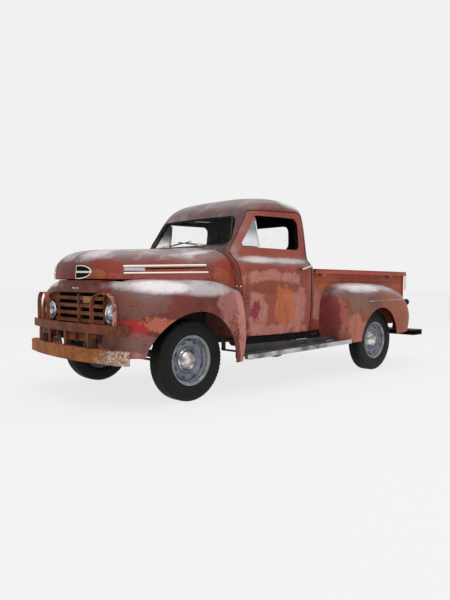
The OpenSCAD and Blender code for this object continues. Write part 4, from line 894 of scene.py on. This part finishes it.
for side, label in SIDES:
    place = Vector((LAMP_X, side * LAMP_Y, LAMP_Z))
    turned("lamp_rim_" + label, mm(93, 1, 96.5, 6, 97, 12, 93.5, 20, 89, 26.5, 86.5, 26.5, 85, 21, 84.5, 12,
                                   85, 1), place, CHROME, axis=(1, 0, 0), steps=64)
    turned("lamp_lens_" + label, mm(85.2, 13, 84.6, 24.5, 79, 33, 66, 43, 48, 50.5, 26, 54.5, 0, 55.5, 0, 51.5,
                                    25, 50.5, 46, 46.5, 64, 39, 77, 29, 81.5, 13), place, LENS, axis=(1, 0, 0),
           steps=64, angle=50)
    turned("lamp_reflector_" + label, mm(81.2, 12, 77, -4, 64, -22, 43, -35, 0, -42, 0, -44, 45, -38, 67, -24,
                                         79, -4, 83, 12), place, SILVER, axis=(1, 0, 0), steps=48, angle=50)
    bucket = turned("lamp_bucket_" + label, mm(86.5, 1, 86.5, -4, 56, -93, 0, -95, 0, -90, 53, -88, 83, -4, 83, 1),
        place, CHASSIS_BLACK, axis=(1, 0, 0), steps=48)
    if side > 0:
        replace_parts(bucket, "headlamps")
    wire("lens_ribs_" + label, [[place + Vector((0.0555 - 8.2 * (y * y + z * z), y, z))
                                 for z in steps(-sqrt(0.0052 - y * y), sqrt(0.0052 - y * y), 9)]
                                for y in steps(-0.056, 0.056, 8)], 0.0011, LENS)


BUMPER_RADIUS, HOOP_Y = 3.0, 0.520
BUMPER_LOW, BUMPER_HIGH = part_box("front_bumper")
ARC_CENTRE = BUMPER_HIGH.x - BUMPER_RADIUS


def arc_x(y, back=0.0):
    """The bumper's curve is part of a circle seen from above; back is how far behind its face."""
    return ARC_CENTRE + sqrt((BUMPER_RADIUS - back) ** 2 - y * y)


def arc_points(back, half, z):
    return [Vector((arc_x(y, back), y, z)) for y in steps(-half, half, 33)]


def bumper_line(half, z, turn=0.088):
    """The bumper's curve with ends that wrap round to the rear."""
    line = arc_points(0, half - turn, z)
    end = line[-1]
    corner = [Vector((end.x - turn + turn * cos(t), end.y + turn * sin(t), z)) for t in steps(0.25, 1.45, 7)]
    return [Vector((p.x, -p.y, p.z)) for p in reversed(corner)] + line + corner


bumper_z, bumper_h, bumper_d = BUMPER_LOW.z, 0.111, 0.076
channel = [(0, 0.004), (-0.004, 0), (-bumper_d, 0), (-bumper_d, 0.008), (-0.010, 0.008),
           (-0.010, bumper_h - 0.008), (-bumper_d, bumper_h - 0.008), (-bumper_d, bumper_h), (-0.006, bumper_h),
           (0, bumper_h - 0.006), (0.0, bumper_h * 0.75), (-0.002, bumper_h * 0.5), (0.0, bumper_h * 0.25)]
moulding("bumper_bar", bumper_line(BUMPER_HIGH.y, bumper_z), channel, BUMPER_RUST)
irons = []
for side in (1, -1):
    y0, y1 = sorted((side * 0.388, side * 0.400))
    irons.append(block("iron_a", (2.292, y0, 0.525), (2.372, y1, 0.615), STEEL_RUST, bevel=0.002))
    irons.append(block("iron_b", (2.352, y0, bumper_z + 0.024), (2.448, y1, 0.565), STEEL_RUST, bevel=0.002))
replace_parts(merged("bumper_irons", irons), "front_bumper")
bolts = []
for y in (-0.62, -0.40, 0.40, 0.62):
    place = (arc_x(y) - 0.006, y, bumper_z + bumper_h / 2)
    bolts.append(turned("bolt", mm(11, 0, 10, 3, 6, 5.5, 0, 6, 0, 0), place, BUMPER_RUST,
                        axis=(1, 0, 0), steps=14))
merged("bumper_bolts", bolts)

GUARD_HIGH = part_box("brush_guard")[1]
guard_z, guard_h, guard_back = 0.608, 0.078, 0.038
rail = moulding("guard_rail", arc_points(guard_back + 0.006, GUARD_HIGH.y, guard_z + guard_h / 2),
                rounded_bar(0.012, guard_h, 0.3), GUARD_RUST)
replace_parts(rail, "brush_guard")
post = block("post", (-0.0115, -0.018, bumper_z + bumper_h), (-0.001, 0.018, guard_z + 0.020), GUARD_RUST,
             bevel=0.002)
repeated("guard_posts", post, [(arc_x(y, guard_back), y, 0)
                               for y in (-0.560, -0.458, -0.319, 0.0, 0.340, 0.640)])
for side, label in SIDES:
    turn = (Matrix.Translation(Vector((ARC_CENTRE, 0, 0)))
            @ Matrix.Rotation(math.asin(side * HOOP_Y / (BUMPER_RADIUS - guard_back)), 4, "Z"))
    x, r, half, top = BUMPER_RADIUS - guard_back - 0.006, 0.105, 0.140, 0.942
    foot = guard_z + guard_h - 0.012
    path = [(x, -half, foot)]
    path += [(x, -half + r - r * cos(t), top - r + r * sin(t)) for t in steps(0, pi / 2, 9)]
    path += [(x, half - r + r * sin(t), top - r + r * cos(t)) for t in steps(0, pi / 2, 9)]
    path.append((x, half, foot))
    plate_over("lamp_hoop_" + label, [[turn @ (Vector(p) + Vector((shift, 0, 0))) for shift in (0.004, -0.034)]
                                      for p in path], 0.007, HOOP_RUST_AND_HIGHLIGHT)


# ---------- behind the grille, and in the mouth below it ----------

# Painted shade: a near black sheet behind the grille bars.
block("grille_shade_sheet", (2.224, -0.50, 0.50), (2.230, 0.50, 0.985), BLACK_AND_SHADE, slot="chassis_steel", bevel=0.002)
pan = [block("pan", (2.236, -0.34, 0.505), (2.262, 0.34, 0.575), BUMPER_RUST, bevel=0.006)]
for y in (-0.27, -0.09, 0.09, 0.27):
    pan.append(block("pan_rib", (2.255, y - 0.012, 0.50), (2.290, y + 0.012, 0.60), GRILLE_RUST, bevel=0.004))
merged("mouth_pan", pan)


# ---------- glass edges, wipers and vent bars ----------

def rounded_loop(half_low, half_high, low, high, radius, count=6):
    """Outline of a window as (y, z) pairs, narrower at the top."""
    pairs = []
    for corner, (sy, sz) in enumerate(((1, -1), (1, 1), (-1, 1), (-1, -1))):
        z = (low if sz < 0 else high) - sz * radius
        y = sy * ((half_low if sz < 0 else half_high) - radius)
        turn = (-pi / 2, 0, pi / 2, pi)[corner]
        pairs += [(y + radius * cos(turn + t), z + radius * sin(turn + t)) for t in steps(0, pi / 2, count)]
    return pairs


panes = Surface("cab_glass")
screen = panes.front_line(*zip(*rounded_loop(0.612, 0.540, 1.399, 1.683, 0.06)), 0.003)
wire("windscreen_rubber", screen, 0.009, SEAL, "chassis", closed=True)
rear_pane = [panes.touch((-1.5, y, z), (1, 0, 0), 0.002) for y, z in rounded_loop(0.420, 0.420, 1.398, 1.678, 0.09)]
wire("rear_window_rubber", [p for p in rear_pane if p and p.x < 0], 0.009, SEAL, "chassis", closed=True)
for side, label in SIDES:
    for part, ys, zs, radius, out, finish, slot in (
            ("arm", (0.36, 0.02), (1.402, 1.440), 0.0032, 0.010, BOARD_BLACK, "lamp_chrome"),
            ("blade", (0.22, -0.10), (1.408, 1.452), 0.0045, 0.006, SEAL, "tyre_rubber")):
        path = [Vector((p.x, side * p.y, p.z)) for p in panes.front_line(steps(*ys, 9), steps(*zs, 9), out)]
        wire("wiper_%s_%s" % (part, label), path, radius, finish, slot=slot)
    vent = Surface("vent_window_" + label)
    body = body_for("vent_window_" + label)
    bar = vent.side_line(side, steps(0.706, 0.724, 8), steps(1.392, 1.686, 8), 0.002)
    wire("vent_bar_" + label, bar, 0.0075, TRIM, body)
    sill = vent.side_line(side, steps(0.73, 0.93, 6), [1.389] * 6, 0.001)
    moulding("vent_sill_" + label, sill, 0.0045, SEAL, body)


# ---------- door handles, drip rails and studs ----------

HANDLE_Y = 0.8455  # the handle stands out beyond this

for side, label in SIDES:
    door = doors[label]
    door.data.materials.append(CHROME)
    edit(door)
    select_faces(door, lambda place, normal: abs(place.y) > HANDLE_Y and 0.07 < place.x < 0.27
                 and 1.16 < place.z < 1.24)
    bpy.ops.transform.rotate(value=radians(-14), orient_axis="Y", center_override=(0.168, side * 0.86, 1.197))
    bpy.ops.transform.translate(value=(-0.014, 0, -0.002))
    done_editing()
    chromed = [face for face in door.data.polygons if abs(face.center.y) > HANDLE_Y and face.center.x < 0.27
               and face.center.z > 1.14]
    for face in chromed:
        face.material_index = len(door.data.materials) - 1
    roof = Surface("cab_roof")
    drip = roof.side_line(side, steps(0.80, 0.02, 16), [1.742] * 16, 0.003)
    moulding("drip_rail_" + label, drip, rounded_bar(0.012, 0.008, 0.3), CAB_PAINT)
cowl_skin = Surface("cowl")
studs = [turned("stud", mm(8, -2, 8, 4, 5, 7, 0, 7.5, 0, -2), cowl_skin.from_side(x, 1.003), TRIM, steps=16)
         for x in (1.092, 1.066)]
mirrored_copy(merged("cowl_studs_left", studs), "cowl_studs_right")
nose_skin = Surface("front_apron")
crest = [turned("crest", mm(10, -2, 10, 3, 6, 7, 0, 8, 0, -2), nose_skin.from_front(y, 0.984), TRIM,
                axis=(1, 0, 0), steps=16) for y in (-0.040, 0.0, 0.040)]
merged("apron_studs", crest)


# ---------- running boards ----------

def board_top(x):
    """Height of a running board's top, which rises a little to the rear."""
    return 0.401 - 0.0254 * x


for side, label in SIDES:
    moulding("board_ribs_" + label, [[(x, side * y, board_top(x) + 0.001) for x in steps(1.09, -0.56, 12)]
                                     for y in steps(0.826, 0.904, 8)], 0.0032, BOARD_BLACK)
    moulding("board_edge_" + label, [(x, side * 0.9345, board_top(x) - 0.021) for x in steps(1.10, -0.585, 14)],
             rounded_bar(0.007, 0.046, 0.4), BOARD_EDGE)


# ---------- bed ----------

BED_LOW, BED_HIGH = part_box("bed_floor")
plank_top = BED_HIGH.z - 0.003
plank_pitch, plank_half, strip_half = 0.178, 0.084, 0.018
BED_SIDE_Y = 0.6585
plank = block("plank", (BED_LOW.x + 0.034, -plank_half, plank_top - 0.026), (BED_HIGH.x, plank_half, plank_top),
              WOOD, bevel=0.003)
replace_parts(repeated("bed_planks", plank, [(0, plank_pitch * k, 0) for k in range(-3, 4)]), "bed_floor")
strip_y = [plank_pitch * (k + 0.5) for k in range(-3, 3)]
strip = block("strip", (BED_LOW.x + 0.034, -strip_half, plank_top - 0.004),
              (BED_HIGH.x, strip_half, BED_HIGH.z), STEEL_RUST, bevel=0.0025)
repeated("bed_strips", strip, [(0, y, 0) for y in strip_y])
bolt = turned("strip_bolt", mm(9, -3, 9, 0.5, 5, 1.5, 0, 2, 0, -3), (0, 0, BED_HIGH.z - 0.002), STEEL_RUST,
              axis=(0, 0, 1), steps=10)
repeated("bed_bolts", bolt, [(x, y, 0) for x in steps(BED_LOW.x + 0.10, BED_HIGH.x - 0.06, 6) for y in strip_y])
sill = block("sill", (-0.028, -0.60, BED_LOW.z), (0.028, 0.60, plank_top - 0.027), STEEL_RUST, bevel=0.004)
repeated("bed_sills", sill, [(x, 0, 0) for x in steps(BED_HIGH.x - 0.10, BED_LOW.x + 0.25, 5)])
block("bed_rear_sill", (BED_LOW.x, -0.621, BED_LOW.z), (BED_LOW.x + 0.032, 0.621, BED_HIGH.z - 0.009),
      STEEL_RUST, bevel=0.004)
for side, label in SIDES:
    moulding("bed_rail_roll_" + label, [(x, side * 0.6935, 1.1865) for x in steps(-0.222, -2.176, 20)], 0.0092,
             BED_PAINT)
    moulding("bed_side_bead_" + label, [(x, side * BED_SIDE_Y, 1.060) for x in steps(-0.235, -2.150, 20)],
             0.006, BED_PAINT)
    wire("bed_seam_" + label, [(-0.310, side * BED_SIDE_Y, z) for z in steps(0.56, 1.05, 6)], 0.0035, BED_PAINT)
    # Tailgate chain, hooked up at both ends on the corner post
    links = [[Vector((-2.1945, side * y, 1.150 - 0.0165 * k)) + Vector((0, 0, 0.0105 * cos(t)))
              + (Vector((0, 0.0055 * sin(t), 0)) if (k + strand) % 2 else Vector((0.0055 * sin(t), 0, 0)))
              for t in steps(0, 2 * pi * 11 / 12, 12)] for strand, y in enumerate((0.684, 0.697))
             for k in range(12)]
    wire("gate_chain_" + label, links, 0.0021, TRIM, closed=True)
    wire("chain_hook_" + label, [(-2.184, side * 0.690, 1.154), (-2.196, side * 0.690, 1.162),
                                 (-2.198, side * 0.690, 1.174)], 0.0045, TRIM)
gate_body = body_for("tailgate")
gate = []
for z in (0.775, 0.935, 1.095):
    gate.append(block("gate_rib", (-2.1795, -0.575, z - 0.014), (-2.167, 0.575, z + 0.014), BED_PAINT,
                      gate_body, None, 0.005, 3))
for y in (-0.575, 0.575):
    gate.append(block("gate_post", (-2.1795, y - 0.016, 0.760), (-2.167, y + 0.016, 1.110), BED_PAINT,
                      gate_body, None, 0.005, 3))
merged("gate_ribs", gate)


# ---------- fender creases ----------

for side, label in SIDES:
    rear_skin, front_skin = Surface("rear_fender_" + label), Surface("front_fender_" + label)
    strip = rear_skin.side_line(side, steps(-0.79, -1.93, 24), steps(0.833, 0.848, 24), 0.0015)
    moulding("rear_fender_strip_" + label, strip, 0.0042, BOARD_EDGE)
    crease = front_skin.side_line(side, steps(2.285, 1.93, 14), steps(0.769, 0.790, 14), 0.0002)
    moulding("front_fender_crease_" + label, crease, 0.0032, FENDER_PAINT)


# ---------- tail lamp ----------

TAIL_LOW, TAIL_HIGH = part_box("tail_lamp")
tail_z = middle("tail_lamp").z
tail_place = (TAIL_LOW.x + 0.0185, TAIL_HIGH.y - 0.042, tail_z)
shell = turned("tail_lamp_shell", mm(33.5, 0, 33.5, 16, 36, 18.5, 40, 18, 41.5, 13, 40.5, 0, 30, -6, 0, -9,
                                     0, -4, 26, -2), tail_place, CHASSIS_BLACK, slot="lamp_chrome",
               axis=(-1, 0, 0), steps=48)
turned("tail_lamp_lens", mm(33, -1, 33.5, 10, 28, 14.5, 16, 17.2, 0, 18, 0, -1), tail_place,
    LAMP_RED, axis=(-1, 0, 0), steps=48, angle=50)
block("tail_lamp_arm", (TAIL_LOW.x + 0.022, 0.657, tail_z - 0.012),
      (TAIL_LOW.x + 0.034, TAIL_HIGH.y - 0.03, tail_z + 0.012), CHASSIS_BLACK, bevel=0.003)
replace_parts(shell, "tail_lamp")


# ---------- hand wheel, levers and pedals ----------

COLUMN_LOW, COLUMN_TOP = Vector((1.053, 0.370, 0.820)), Vector((0.683, 0.370, 1.150))
column_axis = (COLUMN_TOP - COLUMN_LOW).normalized()
wheel_centre = COLUMN_TOP + column_axis * 0.030
wheel_body = body_for("steering_wheel")
across = Vector((0, 1, 0))
upward = column_axis.cross(across).normalized()
WHEEL_R, GRIP_R = 0.200, 0.0108
rim_outline = [(WHEEL_R + GRIP_R * cos(t), GRIP_R * sin(t)) for t in steps(0, 2 * pi * 13 / 14, 14)]
ring = turned("hand_wheel_rim", rim_outline, wheel_centre, BAKELITE,
              wheel_body, axis=column_axis, steps=80, angle=60)
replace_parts(ring, "steering_wheel")
grips, spokes = [], []
for t in steps(0, 2 * pi * 39 / 40, 40):
    out = across * cos(t) + upward * sin(t)
    under, beside = wheel_centre + out * WHEEL_R - column_axis * 0.0085, out.cross(column_axis) * 0.006
    grips.append([under - beside, under + beside])
wire("hand_wheel_grips", grips, 0.0035, BAKELITE, wheel_body)
for turn in (90, 210, 330):
    out = across * cos(radians(turn)) + upward * sin(radians(turn))
    beside = out.cross(column_axis)
    for shift in (-0.010, 0.0, 0.010):
        spokes.append([wheel_centre + out * r + beside * shift - column_axis * drop for r, drop in (
            (0.022, 0.012), (0.070, 0.010), (0.140, 0.004), (0.196, 0.0))])
wire("hand_wheel_spokes", spokes, 0.0030, CHROME, wheel_body)
turned("hand_wheel_hub", mm(30, -29, 33, -14, 33, -2, 28, 5, 0, 6, 0, -29), wheel_centre, BAKELITE,
       wheel_body, axis=column_axis, steps=48)
turned("horn_button", mm(24, 4, 24, 9, 18, 13.5, 9, 15.5, 0, 16, 0, 4), wheel_centre, CHROME,
       wheel_body, axis=column_axis, steps=48, angle=50)
wire("gear_lever", [(0.86, 0.02, 0.644), (0.855, 0.02, 0.70), (0.82, 0.02, 0.84), (0.77, 0.02, 0.965)], 0.0065,
     CHASSIS_BLACK)
turned("gear_knob", mm(0, -20, 10, -18, 18, -10, 21, 0, 18, 11, 10, 18, 0, 20), (0.766, 0.02, 0.978),
       BAKELITE, axis=(-0.37, 0, 0.93), steps=32, angle=60)
turned("gear_boot", mm(55, 0, 50, 10, 36, 14, 34, 26, 24, 30, 20, 46, 9, 52, 0, 52, 0, 0),
       (0.86, 0.02, 0.645), SEAL, axis=(0, 0, 1), steps=32)
for label, y, half in (("clutch", 0.500, 0.034), ("brake", 0.270, 0.036)):
    block(label + "_pad", (0.895, y - half, 0.745), (0.909, y + half, 0.812), SEAL, bevel=0.006, segments=3)
    wire(label + "_arm", [(0.908, y, 0.778), (0.965, y, 0.752), (1.030, y, 0.690), (1.060, y, 0.648)],
         rounded_bar(0.007, 0.022, 0.3), CHASSIS_BLACK)
block("throttle_pad", (0.900, 0.165, 0.650), (1.020, 0.212, 0.662), SEAL, bevel=0.004,
      shape=lambda piece: bpy.ops.transform.rotate(value=radians(28), orient_axis="Y",
                                                   center_override=(0.90, 0.19, 0.652)))


# ---------- dashboard ----------

dash = Surface("dashboard")


def on_dash(y, z, out=0.0):
    """A point on the dashboard's face, seen from the seat."""
    return dash.touch((0.3, y, z), (1, 0, 0), out)


def dial(name, y, z, radius):
    place = on_dash(y, z)
    turned(name + "_face", [(radius, -0.002), (radius, 0.003), (0, 0.003), (0, -0.002)], place, DIAL,
           axis=(-1, 0, 0), steps=48)
    turned(name + "_ring", [(radius + 0.006, 0), (radius + 0.006, 0.005), (radius + 0.002, 0.009),
                            (radius - 0.002, 0.007), (radius - 0.002, 0)], place, CHROME, axis=(-1, 0, 0),
           steps=48)
    def spoke(t, first, last, lift):
        return [place + Vector((-lift, 0, 0)) + Vector((0, sin(t), cos(t))) * radius * r for r in (first, last)]
    marks = [spoke(t, 0.76, 0.90, 0.0036) for t in steps(radians(-120), radians(120), 9)]
    marks.append(spoke(-1.2, -0.1, 0.7, 0.005))
    wire(name + "_marks", marks, 0.0009, BAKELITE)


for name, y, z, radius in (
        ("speed_dial", 0.370, 1.250, 0.052), ("fuel_dial", 0.475, 1.262, 0.026), ("heat_dial", 0.475, 1.200, 0.026),
        ("oil_dial", 0.265, 1.262, 0.026), ("charge_dial", 0.265, 1.200, 0.026)):
    dial(name, y, z, radius)
knob = turned("knob", mm(6, -2, 6, 12, 12, 15, 13, 21, 9, 26, 0, 27, 0, -2), (0, 0, 0), BAKELITE,
              axis=(-1, 0, 0), steps=24)
repeated("dash_knobs", knob, [on_dash(y, 1.185) for y in (-0.165, -0.100, 0.0, 0.100, 0.175)])
slats = [[on_dash(y, z, 0.003) for y in steps(-0.115, 0.115, 7)] for z in steps(1.225, 1.305, 7)]
moulding("dash_slats", slats, rounded_bar(0.005, 0.006, 0.3), CHROME)
glove = [on_dash(y, z, 0.001) for y, z in ((-0.50, 1.185), (-0.36, 1.185), (-0.22, 1.185), (-0.22, 1.245),
                                           (-0.22, 1.305), (-0.36, 1.305), (-0.50, 1.305), (-0.50, 1.245))]
wire("glove_box_seam", glove, 0.0022, BLACK_AND_SHADE, slot="body_paint", closed=True)


# ---------- door linings ----------

for side, label in SIDES:
    inner = Surface("door_" + label)
    body = body_for("door_" + label)
    wall_y = min(abs(inner.touch((x, 0, z), (0, side, 0)).y) for x in (0.2, 0.5, 0.8) for z in (0.70, 0.9, 1.15))

    def door_block(name, low, high, finish, slot, bevel, **more):
        (x0, y0, z0), (x1, y1, z1) = low, high
        ys = sorted((side * (wall_y - y0), side * (wall_y - y1)))
        return block(name + "_" + label, (x0, ys[0], z0), (x1, ys[1], z1), finish, body, slot, bevel, **more)

    door_block("door_lining", (0.13, 0.008, 0.63), (0.90, 0.001, 1.20), CARD, "seat_fabric", 0.003,
               shape=pressed(lambda place, normal: abs(normal.y) > 0.9, (0.020, 0), (0.005, -0.002)))
    door_block("arm_rest", (0.32, 0.060, 0.955), (0.62, 0.008, 1.000), PIPING, "seat_fabric", 0.016, segments=4)
    crank, latch = (Vector((x, side * (wall_y - 0.010), 1.085)) for x in (0.66, 0.28))

    def beyond(place, *moves):
        """Points beside place, each moved by x, depth in from the door, and z."""
        return [place + Vector((x, -side * depth, z)) for x, depth, z in moves]

    turned("window_crank_hub_" + label, mm(20, 0, 20, 5, 12, 12, 0, 13, 0, 0), crank, CHROME, body, side=-side,
           steps=32)
    moulding("window_crank_" + label, beyond(crank, (0, 0.014, 0), (-0.04, 0.022, 0.03), (-0.085, 0.024, 0.055)),
             rounded_bar(0.007, 0.014, 0.35), CHROME, body)
    turned("window_knob_" + label, mm(6, 0, 10, 6, 12, 16, 9, 26, 0, 28, 0, 0),
           beyond(crank, (-0.083, 0.026, 0.054))[0], BAKELITE, body, side=-side, steps=24)
    turned("latch_hub_" + label, mm(18, 0, 18, 5, 11, 12, 0, 13, 0, 0), latch, CHROME, body, side=-side, steps=32)
    moulding("latch_lever_" + label, beyond(latch, (0, 0.014, 0), (0.045, 0.022, 0.006), (0.095, 0.024, 0.0)),
             rounded_bar(0.007, 0.015, 0.35), CHROME, body)


# ---------- bench seat ----------

def swell(piece, cap=0.024):
    """Fills a padded piece by cloth pressure; no point moves further than cap."""
    take(piece)
    cells = piece.modifiers.new("cells", "REMESH")
    cells.mode, cells.voxel_size = "VOXEL", 0.010
    bpy.ops.object.modifier_apply(modifier=cells.name)
    start = [point.co.copy() for point in piece.data.vertices]
    cloth = piece.modifiers.new("cloth", "CLOTH")
    cloth.settings.use_pressure = True
    cloth.settings.uniform_pressure_force = 4
    cloth.settings.effector_weights.gravity = 0
    for count in range(1, 21):
        scene.frame_set(count)
    bpy.ops.object.modifier_apply(modifier=cloth.name)
    scene.frame_set(1)
    for point, first in zip(piece.data.vertices, start):
        moved = point.co - first
        if moved.length > cap:
            point.co = first + moved.normalized() * cap
    finer = piece.modifiers.new("finer", "SUBSURF")
    finer.levels = finer.render_levels = 1
    bpy.ops.object.modifier_apply(modifier=finer.name)


def channels(piece, lines, depth, width, wanted):
    """Presses sewn channels into a padded piece, where wanted, at the given places along Y."""
    normals = [point.normal.copy() for point in piece.data.vertices]
    for point, normal in zip(piece.data.vertices, normals):
        if wanted(point.co):
            nearest = min(abs(point.co.y - y) for y in lines)
            point.co -= normal * depth * math.exp(-(nearest / width) ** 2)


CUSHION_LOW, CUSHION_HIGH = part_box("seat_cushion")
BACK_LOW, BACK_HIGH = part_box("seat_back")
SEWN, PAD_HALF = steps(-0.48, 0.48, 13), 0.585
cushion = block("seat_pad", (CUSHION_LOW.x + 0.020, -PAD_HALF, 0.776),
                (CUSHION_HIGH.x - 0.022, PAD_HALF, CUSHION_HIGH.z - 0.022), CLOTH, body_for("seat_cushion"),
                None, 0.045, 5)
swell(cushion)
channels(cushion, SEWN, 0.007, 0.007, lambda place: place.z > 0.86 and 0.09 < place.x < 0.47)
smooth(cushion, 60)
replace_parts(cushion, "seat_cushion")
back = block("seat_back_pad", (0.030, -PAD_HALF, BACK_LOW.z + 0.040), (0.108, PAD_HALF, BACK_HIGH.z - 0.020),
             CLOTH, body_for("seat_back"), None, 0.036, 5,
             shape=lambda piece: (select_faces(piece, lambda place, normal: normal.z > 0.9),
                                  bpy.ops.transform.translate(value=(-0.066, 0, 0))))
swell(back, 0.020)
channels(back, SEWN, 0.006, 0.007, lambda place: 1.0 < place.z < 1.34 and place.x > 0.03 - (place.z - 0.93) * 0.15)
smooth(back, 60)
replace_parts(back, "seat_back")
block("seat_plinth", (0.070, -0.558, 0.647), (0.497, 0.558, 0.752), BOARD_BLACK, body_for("seat_cushion"),
      "chassis_steel", 0.006, 2, shape=pressed(faces_front, (0.018, -0.004)))


class Pad(Surface):
    """The skin of a finished padded piece."""

    def __init__(self, piece):
        self.tree = BVHTree.FromPolygons([v.co.copy() for v in piece.data.vertices],
                                         [list(face.vertices) for face in piece.data.polygons])


pad_skin, back_skin = Pad(cushion), Pad(back)
WELT_Y = steps(-0.57, 0.57, 30)
for name, path in (
        ("seat_welt_high", [pad_skin.touch((1.2, y, 0.915), (-1, 0, 0), 0.001) for y in WELT_Y]),
        ("seat_welt_low", [pad_skin.touch((1.2, y, 0.815), (-1, 0, 0), 0.001) for y in WELT_Y]),
        ("seat_back_welt", [back_skin.touch((0.030, y, 2.0), (0, 0, -1), 0.001) for y in WELT_Y])):
    moulding(name, [p for p in path if p], 0.0048, PIPING,
             body_for("seat_back" if "back" in name else "seat_cushion"))


# ---------- camera, floor and light ----------

def place_camera():
    """A camera three quarters ahead of the driver's side, at chest height."""
    lens = bpy.data.cameras.new("viewpoint")
    viewer = bpy.data.objects.new("viewpoint", lens)
    scene.collection.objects.link(viewer)
    heading, pitch, roll = -2.317, -0.065, 0.006
    ahead = Vector((cos(pitch) * cos(heading), cos(pitch) * sin(heading), sin(pitch)))
    right = ahead.cross(Vector((0, 0, 1))).normalized()
    up = right.cross(ahead)
    right, up = right * cos(roll) + up * sin(roll), up * cos(roll) - right * sin(roll)
    turn = Matrix((right, up, -ahead)).transposed().to_4x4()
    viewer.matrix_world = Matrix.Translation(Vector((4.8725, 4.4941, 1.0267))) @ turn
    lens.lens, lens.sensor_width = 34.067, 36
    lens.shift_x, lens.shift_y = 0.0260, 0.0345
    lens.clip_end = 200
    scene.camera = viewer


def stage():
    """A pale floor, a pale surround and two broad soft lamps."""
    take(nodes["hood"])
    bpy.ops.mesh.primitive_plane_add(size=160, location=(0, 0, -0.0005))
    floor = bpy.context.object
    floor.name = "floor"
    f = Finish("floor_white", Specular_IOR_Level=0.0, Roughness=0.9)
    f.feed(Base_Color=f.mix(f.noise(0.8, 3), tone(226, 226, 226), tone(229, 229, 229)))
    glow = f.node("ShaderNodeEmission", {}, {"Color": tone(245, 245, 245), "Strength": 1})
    seen = f.node("ShaderNodeLightPath", {}, {})
    rays = seen.socket.node.outputs
    seen = seen.math("MINIMUM", seen + Value(f, rays["Is Glossy Ray"]) + Value(f, rays["Is Transmission Ray"]), 1)
    blend = f.node("ShaderNodeMixShader", {}, {0: seen * 0.85, 1: Value(f, f.shader.outputs[0]), 2: glow})
    f.tree.links.new(blend.socket, f.tree.nodes["Material Output"].inputs[0])
    floor.data.materials.append(f.material)
    world = bpy.data.worlds.new("studio")
    scene.world = world
    world.use_nodes = True
    tree = world.node_tree
    tree.nodes.clear()
    output, mix = tree.nodes.new("ShaderNodeOutputWorld"), tree.nodes.new("ShaderNodeMixShader")
    seen, light = tree.nodes.new("ShaderNodeBackground"), tree.nodes.new("ShaderNodeBackground")
    rays = tree.nodes.new("ShaderNodeLightPath")
    seen.inputs[0].default_value, seen.inputs[1].default_value = tone(241, 241, 241), 1
    light.inputs[0].default_value, light.inputs[1].default_value = (1, 1, 1, 1), 0.66
    shown = rays.outputs["Is Camera Ray"]
    for kind in ("Is Glossy Ray", "Is Transmission Ray"):
        either = tree.nodes.new("ShaderNodeMath")
        either.operation = "MAXIMUM"
        tree.links.new(shown, either.inputs[0])
        tree.links.new(rays.outputs[kind], either.inputs[1])
        shown = either.outputs[0]
    tree.links.new(shown, mix.inputs[0])
    tree.links.new(light.outputs[0], mix.inputs[1])
    tree.links.new(seen.outputs[0], mix.inputs[2])
    tree.links.new(mix.outputs[0], output.inputs[0])
    for name, place, aim, size, power in (("key", (3, 5, 7), (0, 0, 0.8), 6, 210),
                                          ("top", (-1, -1, 8), (0, 0, 0.8), 8, 200)):
        lamp = bpy.data.lights.new(name, "AREA")
        lamp.size, lamp.energy = size, power
        holder = bpy.data.objects.new(name, lamp)
        scene.collection.objects.link(holder)
        facing = (Vector(aim) - Vector(place)).to_track_quat("-Z", "Y")
        holder.matrix_world = Matrix.Translation(Vector(place)) @ facing.to_matrix().to_4x4()
    scene.view_settings.view_transform = "Standard"


place_camera()
stage()
